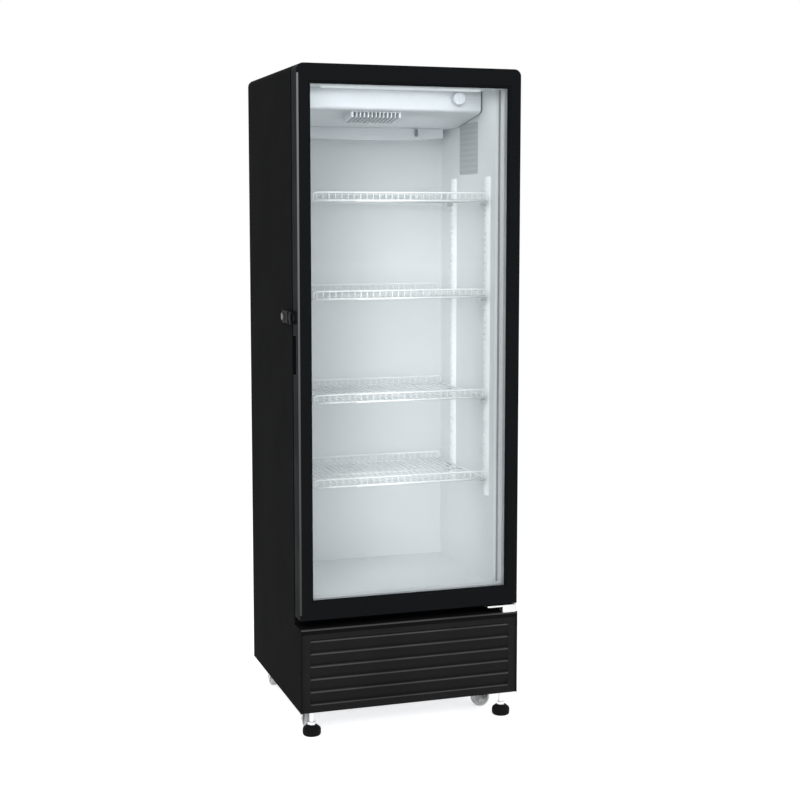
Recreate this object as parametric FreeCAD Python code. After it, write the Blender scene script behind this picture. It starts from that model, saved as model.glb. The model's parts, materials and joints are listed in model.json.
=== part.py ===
"""Upright glass-door merchandiser, modelled as separate sub-parts in millimetres.

Working axes: x runs across the cabinet from its mid-plane, y runs back from the door's front face,
z rises from the floor.  Every sub-part is moved by one vector on export, so the origin ends up on the
floor under the middle of the whole object.  The front faces -Y.
"""
import FreeCAD, Part
import math
import os

Vec = FreeCAD.Vector
os.makedirs("parts", exist_ok=True)

# ---------------------------------------------------------------- driving dimensions
# Cabinet
cabinet_w = 600.0            # outside width
cabinet_h = 1656.0           # base underside to top
overall_d = 550.0            # door front to back panel
ground_clearance = 66.0      # floor to base underside
base_h = 222.0               # height of the machine compartment
side_wall = 45.0             # insulated side walls and ceiling
back_wall = 66.0             # insulated back wall
floor_wall = 62.0            # insulated floor above the deck
sill_h = 10.0                # raised front edge of the interior floor
sill_d = 14.0
skin_t = 1.0                 # outer sheet metal
chassis_t = 1.2              # base pan and deck sheet metal
liner_t = 1.5                # moulded inner liner
front_frame_t = 2.0          # steel frame that the gasket closes on
liner_lip = 12.0             # liner lip turned out round the opening
corner_r = 18.0              # rounded top corners, cabinet and door
fit = 0.3                    # gap between loosely seated pieces
running = 0.05               # radial gap of a pin, shaft or stud

# Door
door_t = 55.0
gasket_gap = 10.0            # door back to cabinet front
door_foot_gap = 24.0         # deck to door underside
stile_w = 36.0               # visible width of the stiles
top_rail_w = 50.0
bottom_rail_w = 50.0
bevel = 8.0                  # bevel round the glass
edge_r = 6.0                 # rounded front edges of the stiles
lip_t = 10.0                 # frame lip in front of the glass
glass_bite = 13.0            # glass edge held behind the lip
pane_t = 4.0
pane_gap = 16.0              # sealed space between the panes
frame_wall = 2.2             # wall of the hollow door profiles
inner_frame_w = 13.0         # inner door frame, from the rebate inwards
gasket_w = 16.0
gasket_inset = 22.0          # door edge to gasket, sides and top
gasket_low_inset = 13.0      # the same at the foot of the door
groove_w = 4.0
groove_d = 6.0

# Recessed pull in the free stile
pull_h = 104.0
pull_mid_z = 993.0
pull_deep = 18.0
pull_front = 24.0
pull_wall = 2.0

# Hinges
hinge_inset = 15.0           # pin axis to door edge
pin_r = 5.0
pin_reach = 28.0
hinge_plate_t = 4.0
hinge_rise = 16.0            # lower plate above the deck, on its block
hinge_block_w = 42.0
bottom_plate_w = 85.0
bottom_plate_d = 54.0
leaf_drop = 12.0             # top of the door to the upper leaf
leaf_half_w = 11.0
flange_t = 3.0
flange_h = 48.0
bush_half_w = 11.0
collar_r = 8.0

# Side lock
lock_mid_z = 1088.0
lock_reach = 12.0            # housing, out from the cabinet side
lock_h = 32.0
lock_start = 67.0            # housing front end
lock_len = 60.0
bolt_t = 7.4
bolt_h = 15.4
bolt_len = 36.0
keeper_start = 36.0
keeper_len = 17.0
barrel_r = 9.0
barrel_proud = 3.0
key_slot_w = 2.0

# Base front grille and rear guard
grille_t = 12.0
grille_face_t = 2.0
grille_top_gap = 13.0        # deck to grille
slat_count = 5
slat_pitch = 33.5
slat_first = 23.0            # lower edge of the louvred window above the base underside
slat_slit = 5.0              # open height over each slat
slat_t = 1.6
louvre_side = 27.0           # plain border beside the louvres
guard_slots = 22
guard_slot_w = 8.0
guard_slot_h = 70.0

# Shelves and pilasters
slot_pitch = 15.85
slot_zero = 9.0              # slot grid above the interior floor
shelf_slots = (18, 32, 49, 65)
shelf_side_gap = 6.0         # shelf edge to pilaster
shelf_front = 82.0
shelf_rear_gap = 38.0
shelf_fence = 18.0
fine_wire = 3.0
rail_wire = 6.0
fence_wire = 5.0
wire_pitch = 17.0
pilaster_w = 40.0
pilaster_deep = 8.0
pilaster_low = 238.0         # lower end above the interior floor
pilaster_len = 861.0
pilaster_front = 120.0       # centre line, from the door front
pilaster_rear_inset = 106.0  # rear centre line, from the back of the interior
slot_w = 12.0
slot_h = 5.0
clip_w = 10.0
clip_h = 9.0
clip_reach = 12.0            # clip pad, out from the pilaster

# Evaporator unit under the ceiling
housing_side_gap = 5.0
housing_d = 321.0            # front face to the back of the interior
housing_lip = 57.0           # height of its front face
flat_d = 134.0               # level part of its underside
slope_drop = 30.0
housing_t = 2.0
outlet_half_w = 68.0
outlet_mid_x = -40.0
outlet_inset = 12.0          # front face to outlet
outlet_d = 80.0
outlet_t = 15.0
outlet_rim = 4.0
outlet_fins = 12
fin_t = 2.4
tray_d = 84.0
tray_h = 34.0
tray_sag = 8.0
tray_side_gap = 22.0         # tray end to the housing's end
coil_gap_back = 10.0
coil_d = 109.0
coil_h = 66.0
coil_end_gap = 25.0
coil_spine = 30.0            # solid rear part that joins the fins
coil_fins = 30
knob_r = 17.0
knob_t = 13.0
knob_inset = 65.0            # knob centre to the housing's right end
knob_drop = 21.0
knob_round = 2.5
grip_w = 6.0
grip_t = 5.0
stem_r = 4.3
evap_fan_r = 46.0
evap_fan_rise = 6.0          # above the lower edge of the housing's front
evap_blades = 4
evap_motor_r = 20.0
motor_foot_l = 90.0
motor_foot_w = 20.0
motor_foot_t = 3.0
lamp_side_gap = 40.0
lamp_front_gap = 8.0
lamp_d = 24.0
lamp_t = 8.0

# Machine compartment
compressor_r = 72.0
compressor_h = 150.0
compressor_side = 150.0      # centre to the left side
compressor_rear = 150.0      # centre to the back
compressor_plate_t = 3.0
terminal_w = 56.0            # terminal cover on the front of the can
terminal_h = 60.0
terminal_proud = 22.0
terminal_rise = 40.0
mount_r = 12.0
mount_h = 14.0
mount_spread = 68.0
condenser_w = 260.0
condenser_side = 40.0        # right side to condenser
condenser_h = 180.0
condenser_d = 60.0
condenser_front = 60.0
condenser_spine = 12.0
condenser_rim = 6.0
condenser_fins = 24
fin_share = 1 / 3            # part of each pitch that a fin and its gap's half take
fan_r = 78.0
fan_blades = 5
fan_ring_gap = 4.0
hub_r = 18.0
hub_t = 16.0
blade_t = 1.6
blade_twist = 24.0
shaft_r = 3.0
hub_gap = 2.0                # hub to motor
shroud_t = 1.5
shroud_d = 40.0
shroud_inset = 10.0
motor_behind = 10.0          # shroud to motor
motor_r = 26.0
motor_len = 48.0
arm_t = 4.0
arm_h = 16.0
pan_w = 230.0
pan_d = 150.0
pan_h = 34.0
pan_wall = 1.5
pan_rear = 31.0              # pan to the back
line_r = 4.0
discharge_rise = 60.0        # above the compressor's plate
suction_rise = 95.0
discharge_run = 25.0
suction_run = 40.0
suction_behind = 30.0        # riser behind the interior's back wall
drier_r = 12.0
drier_l = 90.0
drier_back = 60.0            # behind the condenser's middle
inlet_w = 70.0
inlet_h = 50.0
inlet_d = 40.0
gland_r = 9.0
gland_proud = 12.0

# Casters and feet
wheel_r = 25.0
wheel_w = 20.0
tyre_round = 4.0
caster_side = 38.0           # swivel to cabinet side
caster_front = 112.0
caster_back = 80.0
caster_trail = 25.0
plate_side = 54.0
plate_t = 3.0
bearing_gap = 3.0            # plate to fork
fork_t = 2.5
fork_half_l = 14.0
fork_ear = 8.0
fork_gap = 2.0
axle_r = 4.0
axle_proud = 1.0
kingpin_r = 5.0
foot_side = 35.0
foot_y = 28.0
foot_r = 24.0
foot_h = 27.0
foot_rest_gap = 0.4
stud_r = 6.0
stud_top = 24.0              # stud end above the base pan
nut_r = 11.0
nut_h = 7.0
boss_r = 14.0
boss_h = 16.0

# Bracket and lock details
notch_air = 7.5              # leaf to the front wall of its notch
flange_inset = 3.0
barrel_back = 4.0            # barrel to the housing's rear end
barrel_seat = 3.0            # barrel bore stops this far from the cabinet side
housing_round = 3.0
turn_down_h = grille_top_gap

# ---------------------------------------------------------------- worked-out places
half_w = cabinet_w / 2
z_base = ground_clearance
z_top = z_base + cabinet_h
z_deck = z_base + base_h
z_door = z_deck + door_foot_gap
cab_front = door_t + gasket_gap
cab_back = overall_d
in_half = half_w - side_wall
in_floor = z_deck + floor_wall
in_top = z_top - side_wall
in_back = cab_back - back_wall
sill_top = in_floor + sill_h
pan_top = z_base + chassis_t
plate_low = z_deck + hinge_rise
hinge_x = half_w - hinge_inset
hinge_y = door_t / 2
glass_half = half_w - stile_w
glass_low = z_door + bottom_rail_w
glass_high = z_top - top_rail_w
rebate_half = glass_half + glass_bite
rebate_low = glass_low - glass_bite
rebate_high = glass_high + glass_bite
inner_frame_y = lip_t + 2 * pane_t + pane_gap
leaf_top = z_top - leaf_drop
leaf_low = leaf_top - hinge_plate_t
notch_floor = leaf_low - hinge_plate_t
housing_low = in_top - housing_lip
slope_low = housing_low - slope_drop
half_lock = lock_h / 2
shelf_half_w = in_half - pilaster_deep - shelf_side_gap
shelf_back = in_back - shelf_rear_gap
pilaster_rear = in_back - pilaster_rear_inset
housing_half_w = in_half - housing_side_gap
housing_front = in_back - housing_d
slope_end = in_back - flat_d
outlet_front = housing_front + outlet_inset
outlet_back = outlet_front + outlet_d
outlet_mid_y = (outlet_front + outlet_back) / 2
tray_front = in_back - tray_d
coil_half_w = housing_half_w - coil_end_gap
coil_back = in_back - coil_gap_back
coil_front = coil_back - coil_d
knob_x = housing_half_w - knob_inset
knob_z = in_top - knob_drop
evap_fan_low = housing_low + evap_fan_rise
lamp_half_w = in_half - lamp_side_gap
compressor_x = -half_w + compressor_side
compressor_y = overall_d - compressor_rear
compressor_low = pan_top + mount_h
condenser_right = half_w - condenser_side
condenser_left = condenser_right - condenser_w
condenser_mid_x = (condenser_left + condenser_right) / 2
condenser_back = condenser_front + condenser_d
condenser_top = pan_top + condenser_h
fan_z = pan_top + condenser_h / 2
shroud_back = condenser_back + shroud_d
motor_front = shroud_back + motor_behind
caster_x = half_w - caster_side
caster_rear = overall_d - caster_back
foot_x = half_w - foot_side
fork_top = z_base - plate_t - bearing_gap
bolt_mid_x = -half_w - lock_reach / 2
barrel_y = lock_start + lock_len - barrel_r - barrel_back
barrel_inner = -half_w - barrel_seat
widest_left = half_w + lock_reach + barrel_proud
shift = Vec((widest_left - half_w) / 2, -overall_d / 2, 0)


# ---------------------------------------------------------------- shape helpers
def block(x0, x1, y0, y1, z0, z1):
    """Box between two corners."""
    return Part.makeBox(x1 - x0, y1 - y0, z1 - z0, Vec(x0, y0, z0))


def rod(radius, start, end):
    """Round bar between two points."""
    run = end - start
    return Part.makeCylinder(radius, run.Length, start, run)


def prism(points, travel):
    """Straight-sided solid: a closed outline moved along a vector."""
    return Part.Face(Part.makePolygon(points + [points[0]])).extrude(travel)


def side_prism(outline, x0, x1):
    """Outline of (y, z) points, extruded across the cabinet."""
    return prism([Vec(x0, y, z) for y, z in outline], Vec(x1 - x0, 0, 0))


def front_prism(outline, y0, y1):
    """Outline of (x, z) points, extruded towards the back."""
    return prism([Vec(x, y0, z) for x, z in outline], Vec(0, y1 - y0, 0))


def fuse(pieces):
    """One solid from overlapping pieces."""
    return pieces[0].multiFuse(pieces[1:]).removeSplitter()


def arch(half, low, high, y0, y1, radius):
    """Upright slab whose two top corners are rounded."""
    bend = radius * (1 - math.sqrt(0.5))
    left_mid = Vec(-half + bend, y0, high - bend)
    right_mid = Vec(half - bend, y0, high - bend)
    corners = [Vec(-half, y0, low), Vec(-half, y0, high - radius), Vec(-half + radius, y0, high),
               Vec(half - radius, y0, high), Vec(half, y0, high - radius), Vec(half, y0, low)]
    edges = [Part.LineSegment(corners[0], corners[1]).toShape(),
             Part.Arc(corners[1], left_mid, corners[2]).toShape(),
             Part.LineSegment(corners[2], corners[3]).toShape(),
             Part.Arc(corners[3], right_mid, corners[4]).toShape(),
             Part.LineSegment(corners[4], corners[5]).toShape(),
             Part.LineSegment(corners[5], corners[0]).toShape()]
    return Part.Face(Part.Wire(edges)).extrude(Vec(0, y1 - y0, 0))


def mirrored(shape):
    """Copy on the other side of the cabinet's mid-plane."""
    return shape.mirror(Vec(0, 0, 0), Vec(1, 0, 0))


def turned(shape, centre, axis, degrees):
    """Copy turned about an axis through a point."""
    copy = shape.copy()
    copy.rotate(centre, axis, degrees)
    return copy


def moved(shape, x, y, z):
    """Copy moved by a distance."""
    copy = shape.copy()
    copy.translate(Vec(x, y, z))
    return copy


def vertical_edges(shape, axis):
    """Edges that run straight along one axis."""
    return [e for e in shape.Edges if e.Curve.TypeId == "Part::GeomLine"
            and abs(e.tangentAt(e.FirstParameter).dot(axis)) > 0.999]


def save(name, shape):
    """Write one sub-part, moved so that the origin is under the middle of the object."""
    placed = shape.copy()
    placed.translate(shift)
    placed.exportStep("parts/" + name + ".step")


# ---------------------------------------------------------------- cabinet
def outer_wrap():
    outside = arch(half_w, z_deck, z_top, cab_front, cab_back, corner_r)
    inside = arch(half_w - skin_t, z_deck, z_top - skin_t, cab_front, cab_back, corner_r - skin_t)
    return outside.cut(inside)


def back_panel():
    return arch(half_w - skin_t, z_deck, z_top - skin_t, cab_back - skin_t, cab_back, corner_r - skin_t)


def cavity(grow):
    """Space inside the liner with its front sill, grown by the liner's thickness if asked."""
    room = block(-in_half - grow, in_half + grow, 0, in_back + grow, in_floor - grow, in_top + grow)
    sill = block(-half_w, half_w, -1, cab_front + sill_d - grow, z_base, sill_top - grow)
    return room.cut(sill)


def lip_outline(y0, y1):
    """Slab that reaches as far as the liner's turned-out lip."""
    edge = in_half + liner_lip
    return block(-edge, edge, y0, y1, sill_top - liner_lip, in_top + liner_lip)


def front_frame():
    plate = arch(half_w - skin_t, z_deck, z_top - skin_t, cab_front, cab_front + front_frame_t,
                 corner_r - skin_t)
    return plate.cut(lip_outline(0, cab_back))


def insulation():
    body = arch(half_w - skin_t, z_deck, z_top - skin_t, cab_front + front_frame_t, cab_back - skin_t,
                corner_r - skin_t)
    return body.cut(cavity(liner_t))


def inner_liner():
    behind_frame = block(-half_w, half_w, cab_front, cab_back, z_base, z_top)
    shell = cavity(liner_t).common(behind_frame)
    lip = lip_outline(cab_front, cab_front + front_frame_t)
    return shell.fuse(lip).cut(cavity(0)).removeSplitter()


def compartment_deck():
    sheet = block(-half_w + skin_t, half_w - skin_t, 0, cab_back - skin_t, z_deck - chassis_t, z_deck)
    turn_down = block(-half_w + skin_t, half_w - skin_t, 0, chassis_t, z_deck - turn_down_h, z_deck)
    return fuse([sheet, turn_down])


def base_skirts():
    left = block(-half_w, -half_w + skin_t, 0, cab_back, z_base, z_deck)
    return Part.makeCompound([left, mirrored(left)])


def base_pan():
    pieces = [block(-half_w + skin_t, half_w - skin_t, grille_t, cab_back - skin_t, z_base, pan_top)]
    for side in (-1, 1):
        centre = Vec(side * foot_x, foot_y, z_base)
        pieces.append(Part.makeCylinder(boss_r, boss_h, centre))
    body = fuse(pieces)
    for side in (-1, 1):
        bore = Part.makeCylinder(stud_r + running, 4 * boss_h, Vec(side * foot_x, foot_y, z_base - boss_h))
        body = body.cut(bore)
    return body


def front_grille():
    """Pressed panel: a window closed by slats whose upper edges stand forward over narrow slits."""
    inside = half_w - skin_t
    low = z_base
    high = z_deck - grille_top_gap
    reach = half_w - louvre_side
    window_low = z_base + slat_first
    window_high = window_low + slat_count * slat_pitch + slat_slit
    face = block(-inside, inside, 0, grille_face_t, low, high)
    face = face.cut(block(-reach, reach, -1, grille_t, window_low, window_high))
    pieces = [face,
              block(-inside, -inside + grille_face_t, 0, grille_t, low, high),
              block(inside - grille_face_t, inside, 0, grille_t, low, high),
              block(-inside, inside, 0, grille_t, low, low + grille_face_t),
              block(-inside, inside, 0, grille_t, high - grille_face_t, high)]
    for side in (-1, 1):
        x = side * reach
        pieces.append(block(x - grille_face_t, x + grille_face_t, 0, grille_t, window_low - grille_face_t,
                            window_high + grille_face_t))
    for n in range(slat_count):
        foot = window_low + n * slat_pitch
        top = foot + slat_pitch
        outline = [(0, top), (0, top - slat_t), (grille_t - slat_t, foot - slat_slit / 2),
                   (grille_t, foot - slat_slit / 2), (slat_t, top)]
        pieces.append(side_prism(outline, -reach, reach))
    return fuse(pieces)


def rear_guard():
    inside = half_w - skin_t
    sheet = block(-inside, inside, cab_back - skin_t, cab_back, pan_top, z_deck - chassis_t)
    pitch = 2 * (inside - louvre_side) / guard_slots
    middle = (z_base + z_deck) / 2
    cuts = []
    for n in range(guard_slots):
        x = -inside + louvre_side + (n + 0.5) * pitch
        for row in (-1, 1):
            z = middle + row * (guard_slot_h / 2 + guard_slot_w)
            cuts.append(block(x - guard_slot_w / 2, x + guard_slot_w / 2, cab_back - 2 * skin_t,
                              cab_back + skin_t, z - guard_slot_h / 2, z + guard_slot_h / 2))
    return sheet.cut(Part.makeCompound(cuts))


# ---------------------------------------------------------------- door
def door_ring():
    """The four door profiles as one hollow ring, before the corners are mitred."""
    ring = arch(half_w, z_door, z_top, 0, door_t, corner_r)
    front_edges = [e for e in ring.Edges if all(abs(v.Point.y) < 1e-6 for v in e.Vertexes)
                   and e.BoundBox.ZMax > z_door + 1]
    ring = ring.makeFillet(edge_r, front_edges)
    window = block(-glass_half, glass_half, -1, door_t + 1, glass_low, glass_high)
    rebate = block(-rebate_half, rebate_half, lip_t, door_t + 1, rebate_low, rebate_high)
    wide = [(-glass_half - bevel, glass_low - bevel), (glass_half + bevel, glass_low - bevel),
            (glass_half + bevel, glass_high + bevel), (-glass_half - bevel, glass_high + bevel)]
    narrow = [(-glass_half, glass_low), (glass_half, glass_low),
              (glass_half, glass_high), (-glass_half, glass_high)]
    loops = [Part.makePolygon([Vec(x, y, z) for x, z in loop + [loop[0]]])
             for y, loop in ((0, wide), (bevel, narrow))]
    ring = ring.cut(Part.makeLoft(loops, True, True)).cut(window).cut(rebate)
    outside = arch(half_w - frame_wall, z_door + frame_wall, z_top - frame_wall, frame_wall,
                   door_t - frame_wall, corner_r - frame_wall)
    core = block(-rebate_half - frame_wall, rebate_half + frame_wall, 0, door_t,
                 rebate_low - frame_wall, rebate_high + frame_wall)
    ring = ring.cut(outside.cut(core))
    notch = block(hinge_x - leaf_half_w - 1, half_w + 1, hinge_y - leaf_half_w - notch_air, door_t + 1,
                  notch_floor, z_top + 1)
    foot_hole = Part.makeCylinder(collar_r + fit, 2 * frame_wall, Vec(hinge_x, hinge_y, z_door - frame_wall / 2))
    pull = block(-half_w - 1, -half_w + pull_deep, pull_front, door_t + 1,
                 pull_mid_z - pull_h / 2, pull_mid_z + pull_h / 2)
    return ring.cut(notch).cut(foot_hole).cut(pull).cut(gasket_groove())


def door_profiles():
    """Stiles and rails, cut apart along the mitres."""
    ring = door_ring()
    beyond = 1.0
    left, right = -half_w, half_w
    corner_low, corner_high = z_door, z_top
    left_side = [(left - beyond, corner_low), (left, corner_low), (-glass_half, glass_low),
                 (-glass_half, glass_high), (left, corner_high), (left - beyond, corner_high)]
    top_side = [(left, corner_high), (-glass_half, glass_high), (glass_half, glass_high),
                (right, corner_high), (right, corner_high + beyond), (left, corner_high + beyond)]
    low_side = [(left, corner_low), (left, corner_low - beyond), (right, corner_low - beyond),
                (right, corner_low), (glass_half, glass_low), (-glass_half, glass_low)]
    right_side = [(-x, z) for x, z in left_side]
    names = {"left_stile": left_side, "right_stile": right_side, "top_rail": top_side,
             "bottom_rail": low_side}
    return {name: ring.common(front_prism(outline, -1, door_t + 1)) for name, outline in names.items()}


def pane(front):
    return block(-rebate_half + fit, rebate_half - fit, front, front + pane_t,
                 rebate_low + fit, rebate_high - fit)


def glazing_spacer():
    front = lip_t + pane_t
    edge = rebate_half - fit
    band = block(-edge, edge, front, front + pane_gap, rebate_low + fit, rebate_high - fit)
    return band.cut(block(-glass_half - 1, glass_half + 1, 0, door_t, glass_low - 1, glass_high + 1))


def gasket_loop(drawn_in, width, y0, y1):
    """Rectangular loop on the gasket's line, drawn in from its outer edge."""
    side = half_w - gasket_inset - drawn_in
    low = z_door + gasket_low_inset + drawn_in
    high = z_top - gasket_inset - drawn_in
    out = block(-side, side, y0, y1, low, high)
    return out.cut(block(-side + width, side - width, y0 - 1, y1 + 1, low + width, high - width))


def gasket_groove():
    """Groove in the back of the door that takes the gasket's dart."""
    return gasket_loop((gasket_w - groove_w) / 2, groove_w, door_t - groove_d, door_t + 1)


def door_inner_frame():
    edge = rebate_half - fit
    ring = block(-edge, edge, inner_frame_y, door_t, rebate_low + fit, rebate_high - fit)
    inner = rebate_half - inner_frame_w
    ring = ring.cut(block(-inner, inner, 0, door_t + 1, rebate_low + inner_frame_w, rebate_high - inner_frame_w))
    return ring.cut(gasket_groove())


def door_gasket():
    bellows = gasket_loop(0, gasket_w, door_t, cab_front - fit)
    dart = gasket_loop((gasket_w - groove_w) / 2 + fit, groove_w - 2 * fit, door_t - groove_d + fit, door_t + 1)
    return bellows.fuse(dart).removeSplitter()


def handle_insert():
    low = pull_mid_z - pull_h / 2
    high = pull_mid_z + pull_h / 2
    inner = -half_w + pull_deep
    body = block(-half_w, inner, pull_front, door_t, low, high)
    return body.cut(block(-half_w - 1, inner - pull_wall, pull_front + pull_wall, door_t + 1,
                          low + pull_wall, high - pull_wall))


def hinge_brackets():
    """Upper leaf with its flange and pin, and lower plate on its block with its pin."""
    pin_top = Part.makeCylinder(pin_r, pin_reach, Vec(hinge_x, hinge_y, leaf_low - pin_reach + 1))
    leaf = block(hinge_x - leaf_half_w, hinge_x + leaf_half_w, hinge_y, cab_front, leaf_low, leaf_top)
    nose = Part.makeCylinder(leaf_half_w, hinge_plate_t, Vec(hinge_x, hinge_y, leaf_low))
    flange_left = max(hinge_x - leaf_half_w + flange_inset, half_w - gasket_inset + fit)
    flange = block(flange_left, hinge_x + leaf_half_w, cab_front - flange_t, cab_front,
                   leaf_top - flange_h, leaf_top)
    upper = fuse([leaf, nose, flange, pin_top])
    plate = block(half_w - bottom_plate_w, half_w - skin_t, chassis_t, chassis_t + bottom_plate_d,
                  plate_low, plate_low + hinge_plate_t)
    plate = plate.makeFillet(edge_r, vertical_edges(plate, Vec(0, 0, 1)))
    stand = block(half_w - hinge_block_w, half_w - skin_t, chassis_t, chassis_t + bottom_plate_d,
                  z_deck, plate_low + 1)
    stand = stand.makeFillet(edge_r, vertical_edges(stand, Vec(0, 0, 1)))
    pin_low = Part.makeCylinder(pin_r, z_door + pin_reach - plate_low, Vec(hinge_x, hinge_y, plate_low + 1))
    lower = fuse([plate, stand, pin_low])
    return Part.makeCompound([upper, lower])


def hinge_bushes():
    """Bearing blocks in the hollow rails, each with a collar that keeps the door off its bracket."""
    y0 = frame_wall + fit
    y1 = door_t - frame_wall - fit
    x0 = hinge_x - bush_half_w
    x1 = hinge_x + bush_half_w
    upper = block(x0, x1, y0, y1, rebate_high + frame_wall + fit, notch_floor)
    upper_collar = Part.makeCylinder(collar_r, leaf_low - fit - notch_floor, Vec(hinge_x, hinge_y, notch_floor))
    low_z = z_door + frame_wall
    lower = block(x0, x1, y0, y1, low_z, rebate_low - frame_wall - fit)
    plate_top = plate_low + hinge_plate_t
    lower_collar = Part.makeCylinder(collar_r, low_z - plate_top - fit, Vec(hinge_x, hinge_y, plate_top + fit))
    bore = Part.makeCylinder(pin_r + running, cabinet_h, Vec(hinge_x, hinge_y, z_deck))
    return Part.makeCompound([fuse([upper, upper_collar]).cut(bore), fuse([lower, lower_collar]).cut(bore)])


# ---------------------------------------------------------------- side lock
def lock_housing():
    body = block(-half_w - lock_reach, -half_w, lock_start, lock_start + lock_len,
                 lock_mid_z - half_lock, lock_mid_z + half_lock)
    outer = [e for e in body.Edges if e.CenterOfMass.x < -half_w - lock_reach + 0.1]
    body = body.makeFillet(housing_round, outer)
    channel = block(bolt_mid_x - bolt_t / 2 - fit, bolt_mid_x + bolt_t / 2 + fit, lock_start - 1,
                    lock_start + bolt_len + 2, lock_mid_z - bolt_h / 2 - fit, lock_mid_z + bolt_h / 2 + fit)
    bore = rod(barrel_r + running, Vec(-half_w - lock_reach - 1, barrel_y, lock_mid_z),
               Vec(barrel_inner, barrel_y, lock_mid_z))
    return body.cut(channel).cut(bore)


def lock_bolt():
    start = lock_start + 1
    return block(bolt_mid_x - bolt_t / 2, bolt_mid_x + bolt_t / 2, start, start + bolt_len,
                 lock_mid_z - bolt_h / 2, lock_mid_z + bolt_h / 2)


def lock_barrel():
    outer = -half_w - lock_reach - barrel_proud
    body = rod(barrel_r, Vec(outer, barrel_y, lock_mid_z), Vec(barrel_inner - fit, barrel_y, lock_mid_z))
    key = block(outer - 1, outer + 2 * barrel_proud, barrel_y - key_slot_w / 2, barrel_y + key_slot_w / 2,
                lock_mid_z - barrel_r / 2, lock_mid_z + barrel_r / 2)
    return body.cut(key)


def lock_keeper():
    body = block(-half_w - lock_reach, -half_w, keeper_start, keeper_start + keeper_len,
                 lock_mid_z - half_lock, lock_mid_z + half_lock)
    window = block(bolt_mid_x - bolt_t / 2 - 2 * fit, bolt_mid_x + bolt_t / 2 + 2 * fit, 0, cab_front,
                   lock_mid_z - bolt_h / 2 - 2 * fit, lock_mid_z + bolt_h / 2 + 2 * fit)
    return body.cut(window)


# ---------------------------------------------------------------- shelves
def shelf(deck_z):
    """Wire shelf: fine wires turned up at both ends, on heavier rails."""
    low = deck_z - fine_wire
    top = deck_z + shelf_fence
    outline = [(shelf_front, top), (shelf_front, low), (shelf_back, low), (shelf_back, top),
               (shelf_back - fine_wire, top), (shelf_back - fine_wire, deck_z),
               (shelf_front + fine_wire, deck_z), (shelf_front + fine_wire, top)]
    overhang = (fence_wire - fine_wire) / 2
    fence_lines = (shelf_front - overhang, shelf_back - fine_wire - overhang)
    wires = []
    count = int(2 * (shelf_half_w - rail_wire) / wire_pitch)
    for n in range(count + 1):
        x = (n - count / 2) * wire_pitch
        wires.append(side_prism(outline, x - fine_wire / 2, x + fine_wire / 2))
    under = low - rail_wire + 1
    rails = []
    for y in (shelf_front, (shelf_front + shelf_back - rail_wire) / 2, shelf_back - rail_wire):
        rails.append(block(-shelf_half_w, shelf_half_w, y, y + rail_wire, under, under + rail_wire))
    for y in fence_lines:
        rails.append(block(-shelf_half_w, shelf_half_w, y, y + fence_wire, top - fence_wire, top))
    for side in (-1, 1):
        x = side * (shelf_half_w - rail_wire / 2)
        rails.append(block(x - rail_wire / 2, x + rail_wire / 2, shelf_front, shelf_back,
                           under, under + rail_wire))
        for y in fence_lines:
            rails.append(block(x - rail_wire / 2, x + rail_wire / 2, y, y + fence_wire, under, top))
    return fuse(wires + rails)


def shelf_deck(slot):
    return in_floor + slot_zero + slot * slot_pitch


def pilasters():
    """Four upright ribs on the side walls, slotted for the shelf clips."""
    wall = in_half
    low = in_floor + pilaster_low
    half = pilaster_w / 2
    shapes = []
    for y in (pilaster_front, pilaster_rear):
        start, mid, end = Vec(wall, y - half, low), Vec(wall - pilaster_deep, y, low), Vec(wall, y + half, low)
        loop = Part.Wire([Part.Arc(start, mid, end).toShape(), Part.LineSegment(end, start).toShape()])
        rib = Part.Face(loop).extrude(Vec(0, 0, pilaster_len))
        first = math.ceil((pilaster_low + slot_h - slot_zero) / slot_pitch)
        last = int((pilaster_low + pilaster_len - slot_h - slot_zero) / slot_pitch)
        slots = []
        for n in range(first, last + 1):
            z = shelf_deck(n) - fine_wire - rail_wire - clip_h / 2
            if z > low + slot_h:
                slots.append(block(wall - pilaster_deep - 1, wall - pilaster_deep / 2, y - slot_w / 2,
                                   y + slot_w / 2, z - slot_h / 2, z + slot_h / 2))
        rib = rib.cut(Part.makeCompound(slots))
        shapes += [rib, mirrored(rib)]
    return Part.makeCompound(shapes)


def shelf_clips():
    """Small hooks in the pilaster slots, one under each shelf corner."""
    shapes = []
    apex = in_half - pilaster_deep
    for slot in shelf_slots:
        rail_low = shelf_deck(slot) - fine_wire - rail_wire + 1
        mid = shelf_deck(slot) - fine_wire - rail_wire - clip_h / 2
        for y in (pilaster_front, pilaster_rear):
            pad = block(apex - fit - clip_reach, apex - fit, y - clip_w / 2, y + clip_w / 2,
                        mid - clip_h / 2, rail_low - fit)
            tab = block(apex - 1, apex + pilaster_deep / 2 - fit, y - clip_w / 2, y + clip_w / 2,
                        mid - slot_h / 2 + fit, mid + slot_h / 2 - fit)
            clip = fuse([pad, tab])
            shapes += [clip, mirrored(clip)]
    return Part.makeCompound(shapes)


# ---------------------------------------------------------------- evaporator unit
def housing_outline(offset, front, top):
    """Side outline of the housing, drawn in by a wall thickness."""
    return [(front, top), (front, housing_low + offset), (slope_end, slope_low + offset),
            (in_back, slope_low + offset), (in_back, top)]


def outlet_plane(y):
    """Height of the sloping underside at a depth."""
    return housing_low - slope_drop * (y - housing_front) / (slope_end - housing_front)


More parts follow.
